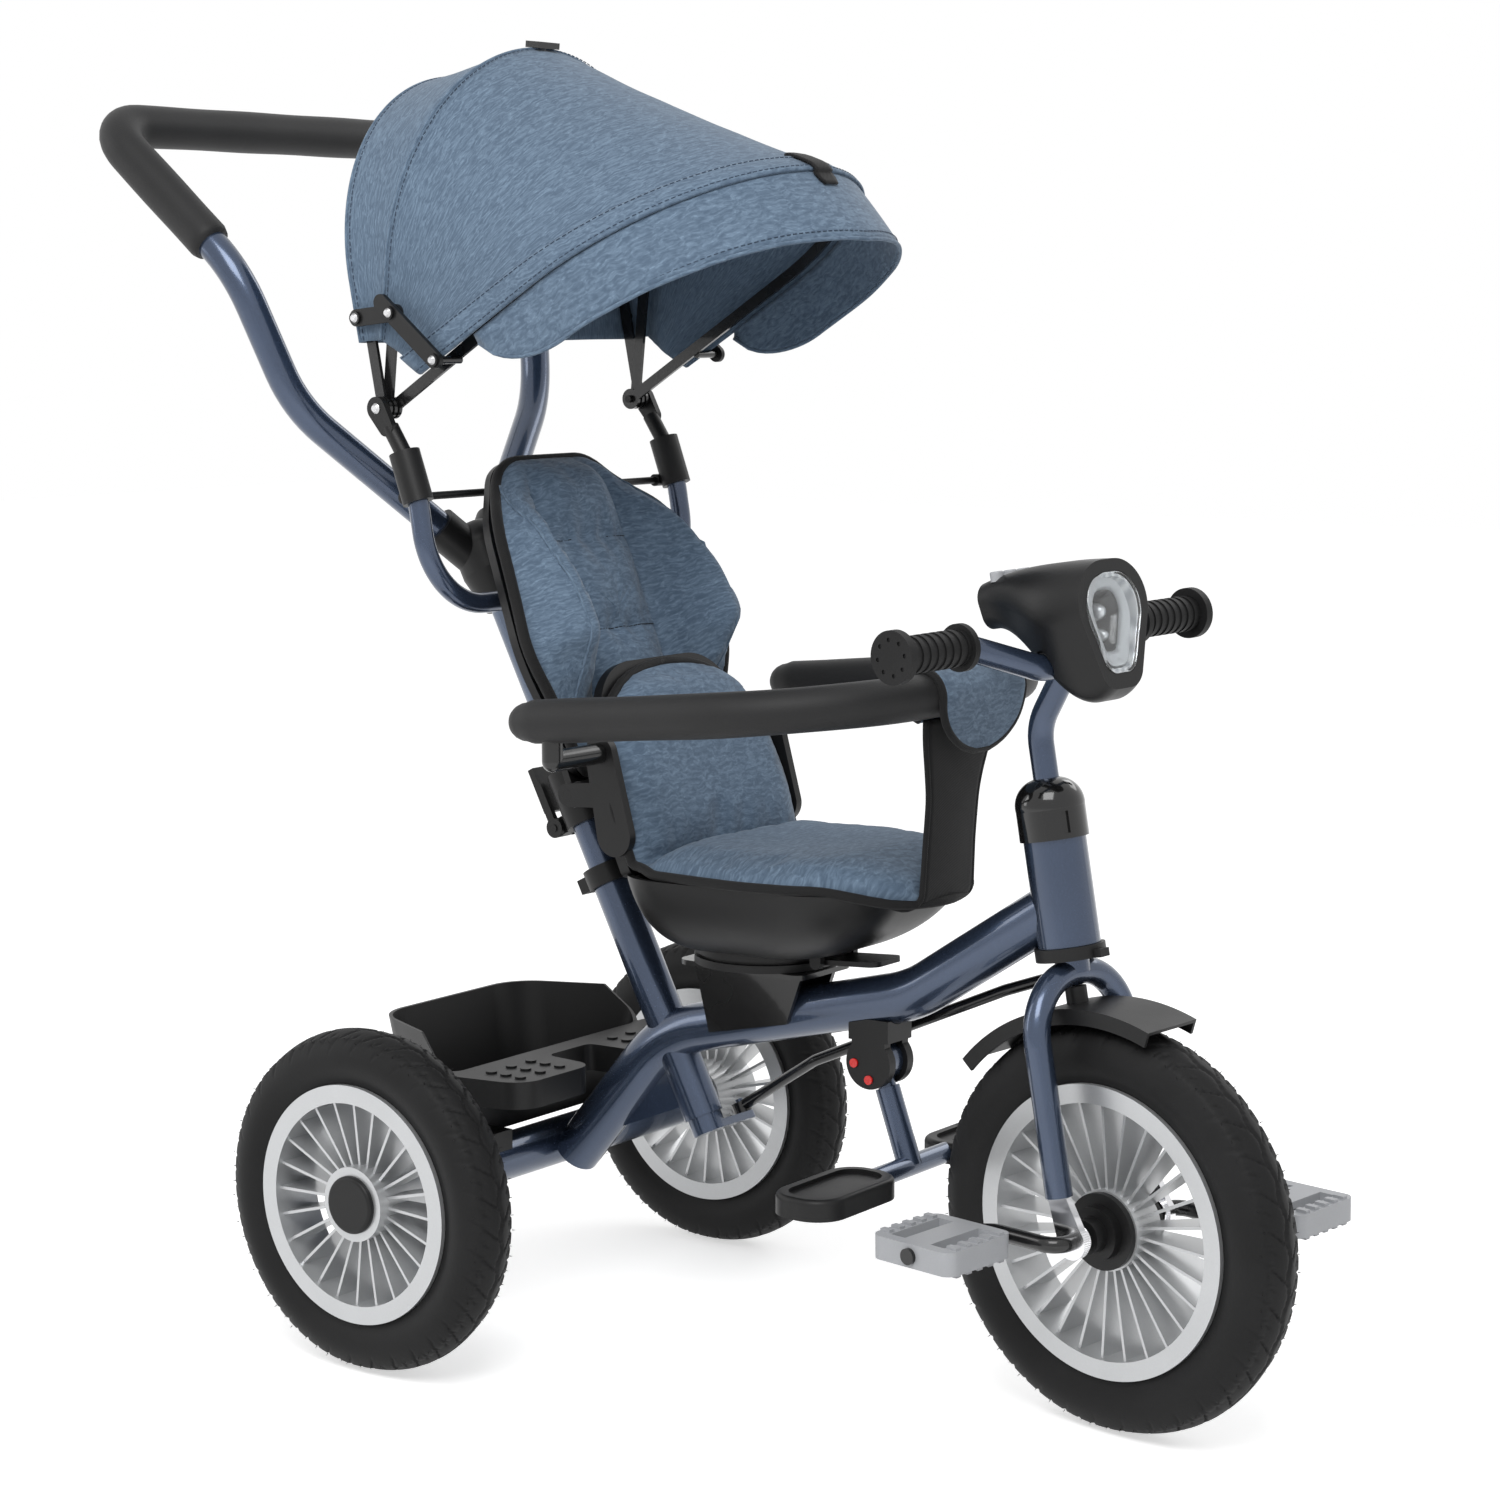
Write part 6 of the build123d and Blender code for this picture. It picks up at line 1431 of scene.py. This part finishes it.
class TRIKE_OT_foam(bpy.types.Operator):
    """Draw the foam sleeves over the safety bar and the push handle, and sew the flap on the bar"""

    bl_idname = "trike.foam"
    bl_label = "Foam and bar flap"

    def execute(self, context):
        bar = sleeve("safety_foam_sleeve", safety_path(), 0.0165, True)
        dress(bar, "safety_bar", "foam", "safety_bar_foam")
        grip = sleeve("handle_foam_sleeve", handle_path(), 0.017, False)
        dress(grip, "handle_upper", "foam", "handle_foam")
        self.add_flap()
        return {"FINISHED"}

    def add_flap(self):
        """Cloth flap laid over the bar from behind, with a rounded tongue in front and a bound edge."""
        rows = 43
        columns = 29
        points = []
        weave = []
        for i in range(rows):
            run = FLAP_LENGTH * i / (rows - 1)
            tip = max(0.0, (run - FLAP_TONGUE) / (FLAP_LENGTH - FLAP_TONGUE))
            half = FLAP_HALF * math.sqrt(max(0.03, 1 - tip ** 2.4))
            for k in range(columns):
                share = -1 + 2 * k / (columns - 1)
                points.append(self.flap_spot(run, half * share))
                weave.append((half * share * MM, run * MM))
        flap = piece("bar_flap_cloth", points, grid_faces(rows, columns), "fabric", weave)
        flip_out(flap, place(SAFETY_FRONT[0], 0, SAFETY_FRONT[1]))
        thickened(flap, 0.0024, 1.0)
        dress(flap, "safety_bar", "fabric", "bar_wrap")
        left = points[0::columns]
        right = points[columns - 1::columns]
        tip = points[(rows - 1) * columns + 1:rows * columns - 1]
        loop = left + tip + list(reversed(right))
        binding = tube_piece("bar_flap_binding", resampled(loop, 0.003), 0.0030, "black_fabric", 10)
        dress(binding, "safety_bar", "black_fabric")

    def flap_spot(self, run, across):
        """Point of the flap: round the curved bar from behind over its top, then hanging in front."""
        ahead = Vector((SAFETY_FRONT[0] - SAFETY_REAR[0], 0.0, SAFETY_FRONT[1] - SAFETY_REAR[1]))
        ahead.normalize()
        rise = Vector((-ahead.z, 0.0, ahead.x))
        straight = SAFETY_HALF - SAFETY_BEND
        bend = max(0.0, abs(across) - straight) / SAFETY_BEND
        side = math.copysign(1.0, across)
        out = ahead * math.cos(bend) + Vector((0.0, side * math.sin(bend), 0.0))
        middle = Vector((SAFETY_FRONT[0], max(-straight, min(straight, across)), SAFETY_FRONT[1]))
        middle += (out - ahead) * SAFETY_BEND
        turn = math.radians(250.0) - run / FLAP_RADIUS
        hang = math.radians(-8.0)
        spot = middle + (out * math.cos(max(turn, hang)) + rise * math.sin(max(turn, hang))) * FLAP_RADIUS
        if turn < hang:
            extra = (hang - turn) * FLAP_RADIUS
            spot += Vector((0.0, 0.0, -extra)) - out * (0.10 * extra)
        return place(*spot)


# Tyres
def wheel_frame(joint):
    """Centre and axle direction of a wheel, with two directions across it."""
    row = joint_of(joint)
    centre = Vector(row["pos_m"])
    axle = Vector(row["axis"]).normalized()
    up = (Vector((0, 0, 1)) - axle * axle.z).normalized()
    return centre, axle, up, axle.cross(up)


def tyre_profile(outer, width, rim):
    """Section of a tyre from one bead over the tread to the other: across and radius, in millimetres."""
    lip = rim + 1.0
    points = [(-17.5, rim - 3.5), (-17.9, lip - 0.6), (-18.6, lip + 0.6)]
    for i in range(1, 13):
        part = i / 12
        across = width / 2 * math.sin(math.pi * (0.255 + 0.49 * part))
        points.append((-across + 0.4, lip + 0.6 + (outer - 5.4 - lip) * part))
    for i in range(1, 18):
        across = -15.0 + 30.0 * i / 18
        points.append((across, outer - 5.0 * (across / 15.0) ** 2 - 0.05))
    points += [(-a, r) for a, r in reversed(points[:15])]
    return points


class TRIKE_OT_tyres(bpy.types.Operator):
    """Mould the tyres with their sipes, sidewall ribs and moulding hairs"""

    bl_idname = "trike.tyres"
    bl_label = "Tyres"

    def execute(self, context):
        size = context.scene.trike_sizes
        for joint, node, body, outer, width, rim in (
            ("front_wheel_spin", "front_tyre", "front_wheel", 152.0, 50.0, 109.0),
            ("rear_left_spin", "rear_tyre_left", "rear_wheel_left", 133.0, 49.0, 93.0),
            ("rear_right_spin", "rear_tyre_right", "rear_wheel_right", 133.0, 49.0, 93.0),
        ):
            self.mould(size, joint, node, body, outer, width, rim)
        return {"FINISHED"}

    def mould(self, size, joint, node, body, outer, width, rim):
        centre, axle, up, side = wheel_frame(joint)
        profile = tyre_profile(outer, width, rim)
        steps = 816
        points = []
        for i in range(steps):
            turn = 2 * math.pi * i / steps
            spoke = up * math.cos(turn) + side * math.sin(turn)
            for across, radius in profile:
                cut = self.cut(size, across, turn, outer, radius)
                points.append(centre + axle * (across * MM) + spoke * ((radius * MM) - cut))
        count = len(profile)
        faces = []
        for i in range(steps):
            after = (i + 1) % steps
            for k in range(count):
                right = (k + 1) % count
                faces.append((i * count + k, i * count + right, after * count + right, after * count + k))
        weave = [(0.0, 0.0)] * len(points)
        tyre = recalculated(piece(node.replace("_tyre", "_tread_tyre"), points, faces, "tyre", weave))
        dress(tyre, body, "tyre", node)
        self.add_hairs(size, node, body, centre, axle, up, side, outer)

    def cut(self, size, across, turn, outer, radius):
        """Depth of the tread's cuts at a place: slanted sipes, a wavy middle groove and sidewall rings."""
        wide = abs(across)
        if radius > outer - 16.0 and wide < 24.5:
            pitch = 2 * math.pi / size.sipes
            lean = wide * 0.0075 + (0.5 if across > 0 else 0.0) * pitch
            phase = ((turn + lean) / pitch) % 1.0
            gap = min(phase, 1 - phase) * pitch * outer
            reach = smooth(3.0, 6.0, wide) * (1 - smooth(20.0, 24.0, wide))
            sipe = size.sipe * reach * (1 - smooth(0.6, 1.7, gap))
            half = ((turn + lean) / pitch + 0.5) % 1.0
            gap = min(half, 1 - half) * pitch * outer
            short = smooth(9.0, 12.0, wide) * (1 - smooth(17.0, 21.0, wide))
            sipe += size.sipe * 0.8 * short * (1 - smooth(0.5, 1.5, gap))
            wave = 1.6 * math.sin(turn * size.sipes)
            middle = size.sipe * 0.9 * (1 - smooth(0.8, 2.0, abs(across - wave)))
            return sipe + middle
        ring = 0.0
        for spot in (0.30, 0.62):
            ring += math.exp(-((radius - (outer - 40.0 * spot - 6.0)) / 0.8) ** 2)
        return -0.0004 * ring

    def add_hairs(self, size, node, body, centre, axle, up, side, outer):
        spots = []
        for i in range(132):
            turn = 2 * math.pi * (i + 0.35 * math.sin(i * 12.9898)) / 132
            across = (-1 if i % 2 else 1) * (16.0 + 5.5 * math.sin(i * 4.1) ** 2)
            radius = outer - 6.2 - 2.4 * math.sin(i * 4.1) ** 2
            spoke = up * math.cos(turn) + side * math.sin(turn)
            facing = (spoke * 0.75 + axle * (0.66 if across > 0 else -0.66)).normalized()
            spot = centre + axle * (across * MM) + spoke * (radius * MM) + facing * (size.nib / 3)
            spots.append((spot, facing))
        hairs = studded(node + "_hairs", spots, "tyre", size.nib, 0.0004, "hair")
        dress(hairs, body, "tyre")


# Fasteners
BRACE_REAR = (-46.0, 804.0)
BRACE_MIDDLE = (-7.0, 808.0)
BRACE_FRONT = (37.0, 773.0)


class TRIKE_OT_fasteners(bpy.types.Operator):
    """Set the screws and rivets that hold the braces and the hinges"""

    bl_idname = "trike.fasteners"
    bl_label = "Screws and rivets"

    def execute(self, context):
        for name, body, (x, z), half, radius in (
            ("hinge_screws", "backrest", CANOPY_HINGE, 166.3, 0.0042),
            ("rear_rivets", "backrest", BRACE_REAR, self.side("canopy_rear_bow"), 0.0036),
            ("middle_rivets", "brace_rear", BRACE_MIDDLE, self.side("brace_links_rear"), 0.0036),
            ("front_rivets", "brace_front", BRACE_FRONT, self.side("brace_links_front"), 0.0036),
        ):
            spots = [(place(x, side * half, z), Vector((0.0, side, 0.0))) for side in (-1, 1)]
            made = studded(name, spots, "steel", 0.0018, radius, "screw")
            dress(made, body, "steel")
        return {"FINISHED"}

    def side(self, node):
        """Outer side of a CAD node, in millimetres."""
        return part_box(node)[1][1] / MM


# Lamp
LENS_CORNERS = [(-14.0, -36.0), (14.0, -36.0), (42.0, 36.0), (-42.0, 36.0)]
LENS_RADII = [13.0, 13.0, 24.0, 24.0]
FROST_RING = [(0.92, 2.8), (0.88, 3.6), (0.70, 6.0), (0.62, 9.5)]
DARK_CUP = [(0.62, 9.5), (0.58, 10.5), (0.50, 19.0), (0.02, 20.0)]


def bulb_size(radius, share):
    """Radius of a bulb's round glass at a share of its height, in metres."""
    return radius * MM * max(0.06, math.cos(1.51 * share))


class TRIKE_OT_lamp(bpy.types.Operator):
    """Set the frosted ring, the dark cup and the two bulbs behind the lamp's lens"""

    bl_idname = "trike.lamp"
    bl_label = "Lamp"

    def execute(self, context):
        mesh = frame["nodes"]["lamp_lens"].data
        facing = Vector()
        for face in mesh.polygons:
            if face.normal.x > 0.5:
                facing += face.normal * face.area
        facing.normalize()
        low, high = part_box("lamp_lens")
        middle = (Vector(low) + Vector(high)) / 2
        across = Vector((0.0, 1.0, 0.0))
        up = facing.cross(across)
        ring = outline_loop(LENS_CORNERS, LENS_RADII, 72)

        def at(x, y, behind):
            return middle + across * (x * MM) + up * (y * MM) - facing * (behind * MM)

        bowls = (("lamp_frost", FROST_RING, "frost"), ("lamp_cup", DARK_CUP, "gloss_black"))
        for name, rows, finish in bowls:
            points = []
            for share, behind in rows:
                points += [at(spot.x * share, spot.y * share + 2.0, behind) for spot in ring]
            bowl = piece(name, points, grid_faces(len(rows), len(ring), True), finish)
            flip_out(bowl, at(0.0, 0.0, 60.0))
            thickened(bowl, 0.0006, 0.0)
            dress(bowl, "fork_group", "lens")
        parts = []
        for y, radius in ((9.0, 6.5), (-8.0, 5.0)):
            path = [at(0.0, y, 19.5 - 10.0 * math.sin(math.pi / 2 * i / 10)) for i in range(11)]
            parts.append(tube(path, lambda share, size=radius: bulb_size(size, share), 18))
        points, faces, weave = joined(parts)
        bulbs = recalculated(piece("lamp_bulbs", points, faces, "bright", weave))
        dress(bulbs, "fork_group", "lens")
        return {"FINISHED"}


class TRIKE_OT_finishes(bpy.types.Operator):
    """Lay the finishes on the rigid pieces of the frame"""

    bl_idname = "trike.finishes"
    bl_label = "Finishes"

    def execute(self, context):
        mix_finishes()
        special = {"lamp_housing": "lamp_shell", "footrest_frame": "paint"}
        for row in frame["record"]["subparts"]:
            node = frame["nodes"][row["node"]]
            finish = FINISHES[special.get(row["node"], row["material_slot"])]
            node.data.materials.clear()
            node.data.materials.append(finish)
        return {"FINISHED"}


def seen_ray(graph):
    """1 for rays that come straight from the camera, from gloss or through glass."""
    path = graph.node("ShaderNodeLightPath")
    seen = graph.signal(path, 0)
    seen = seen.math("MAXIMUM", seen, graph.signal(path, 3))
    return seen.math("MAXIMUM", seen, graph.signal(path, 6))


class TRIKE_OT_stage(bpy.types.Operator):
    """Set the pale studio, its soft lamps and the camera"""

    bl_idname = "trike.stage"
    bl_label = "Studio"

    def execute(self, context):
        stage = context.scene.trike_stage
        self.add_camera(context.scene, stage)
        self.add_floor()
        self.add_light(context.scene, stage)
        return {"FINISHED"}

    def add_camera(self, scene, stage):
        data = bpy.data.cameras.new("studio_camera")
        camera = bpy.data.objects.new("studio_camera", data)
        scene.collection.objects.link(camera)
        spot = place(1692.9, -2014.8, 817.0)
        aim = place(200.3, 0.0, 473.4)
        camera.location = spot
        camera.rotation_euler = (aim - spot).to_track_quat("-Z", "Y").to_euler()
        data.lens = stage.lens
        data.sensor_width = 36.0
        data.clip_start = 0.05
        data.clip_end = 60.0
        scene.camera = camera

    def add_floor(self):
        points = [(-9, -9, -0.0006), (9, -9, -0.0006), (9, 9, -0.0006), (-9, 9, -0.0006)]
        mesh = bpy.data.meshes.new("studio_floor")
        mesh.from_pydata(points, [], [(0, 1, 2, 3)])
        floor = bpy.data.objects.new("studio_floor", mesh)
        bpy.context.scene.collection.objects.link(floor)
        made = Finish("pale_floor")
        speck = made.grain(0.4, 2.0)
        made.set(Base_Color=made.tinted(speck, (0.905, 0.905, 0.905), (0.915, 0.915, 0.915)), Roughness=0.9)
        made.set(Specular_IOR_Level=0.1)
        glow = made.node("ShaderNodeEmission", None, {"Strength": seen_ray(made) * 0.56})
        both = made.node(
            "ShaderNodeAddShader", None, {0: made.signal(made.shader), 1: made.signal(glow)}
        )
        made.tree.links.new(both.outputs[0], made.tree.nodes["Material Output"].inputs["Surface"])
        mesh.materials.append(made.material)

    def add_light(self, scene, stage):
        scene.view_settings.view_transform = "Standard"
        world = bpy.data.worlds.new("studio_sky")
        world.use_nodes = True
        scene.world = world
        graph = Graph(world.node_tree)
        strength = seen_ray(graph) * (1.0 - stage.sky) + stage.sky
        back = world.node_tree.nodes["Background"]
        back.inputs[0].default_value = (1.0, 1.0, 1.0, 1.0)
        world.node_tree.links.new(strength.socket, back.inputs[1])
        for name, spot, aim, power, wide, high in (
            ("key_lamp", (0.9, -1.6, 2.3), (0.0, 0.0, 0.45), stage.key, 1.4, 1.4),
            ("strip_lamp", (-1.9, -1.4, 1.3), (0.0, 0.0, 0.5), stage.side, 0.5, 1.8),
            ("rear_lamp", (0.4, 2.2, 1.9), (0.0, 0.0, 0.5), stage.side, 1.6, 0.8),
        ):
            data = bpy.data.lights.new(name, "AREA")
            data.shape = "RECTANGLE"
            data.size = wide
            data.size_y = high
            data.energy = power
            lamp = bpy.data.objects.new(name, data)
            scene.collection.objects.link(lamp)
            lamp.location = spot
            lamp.rotation_euler = (Vector(aim) - Vector(spot)).to_track_quat("-Z", "Y").to_euler()


class TRIKE_PT_panel(bpy.types.Panel):
    """The tricycle's operators and settings"""

    bl_label = "Tricycle"
    bl_idname = "TRIKE_PT_panel"
    bl_space_type = "VIEW_3D"
    bl_region_type = "UI"
    bl_category = "Tricycle"

    def draw(self, context):
        for maker in MAKERS:
            self.layout.operator(maker.bl_idname)
        for group in ("trike_colours", "trike_sizes", "trike_stage"):
            settings = getattr(context.scene, group)
            box = self.layout.box()
            for row in settings.bl_rna.properties:
                if row.identifier not in ("rna_type", "name"):
                    box.prop(settings, row.identifier)


GROUPS = {"trike_colours": ColourSettings, "trike_sizes": SizeSettings, "trike_stage": StageSettings}
MAKERS = [
    TRIKE_OT_finishes, TRIKE_OT_stage, TRIKE_OT_canopy, TRIKE_OT_backrest, TRIKE_OT_seat, TRIKE_OT_foam,
    TRIKE_OT_tyres, TRIKE_OT_fasteners, TRIKE_OT_lamp,
]


def register():
    for made in [*GROUPS.values(), *MAKERS, TRIKE_PT_panel]:
        bpy.utils.register_class(made)
    for name, group in GROUPS.items():
        setattr(bpy.types.Scene, name, bpy.props.PointerProperty(type=group))


def unregister():
    for name in GROUPS:
        delattr(bpy.types.Scene, name)
    for made in reversed([*GROUPS.values(), *MAKERS, TRIKE_PT_panel]):
        bpy.utils.unregister_class(made)


def main():
    register()
    for maker in MAKERS:
        group, name = maker.bl_idname.split(".")
        getattr(getattr(bpy.ops, group), name)()


if __name__ == "__main__":
    main()
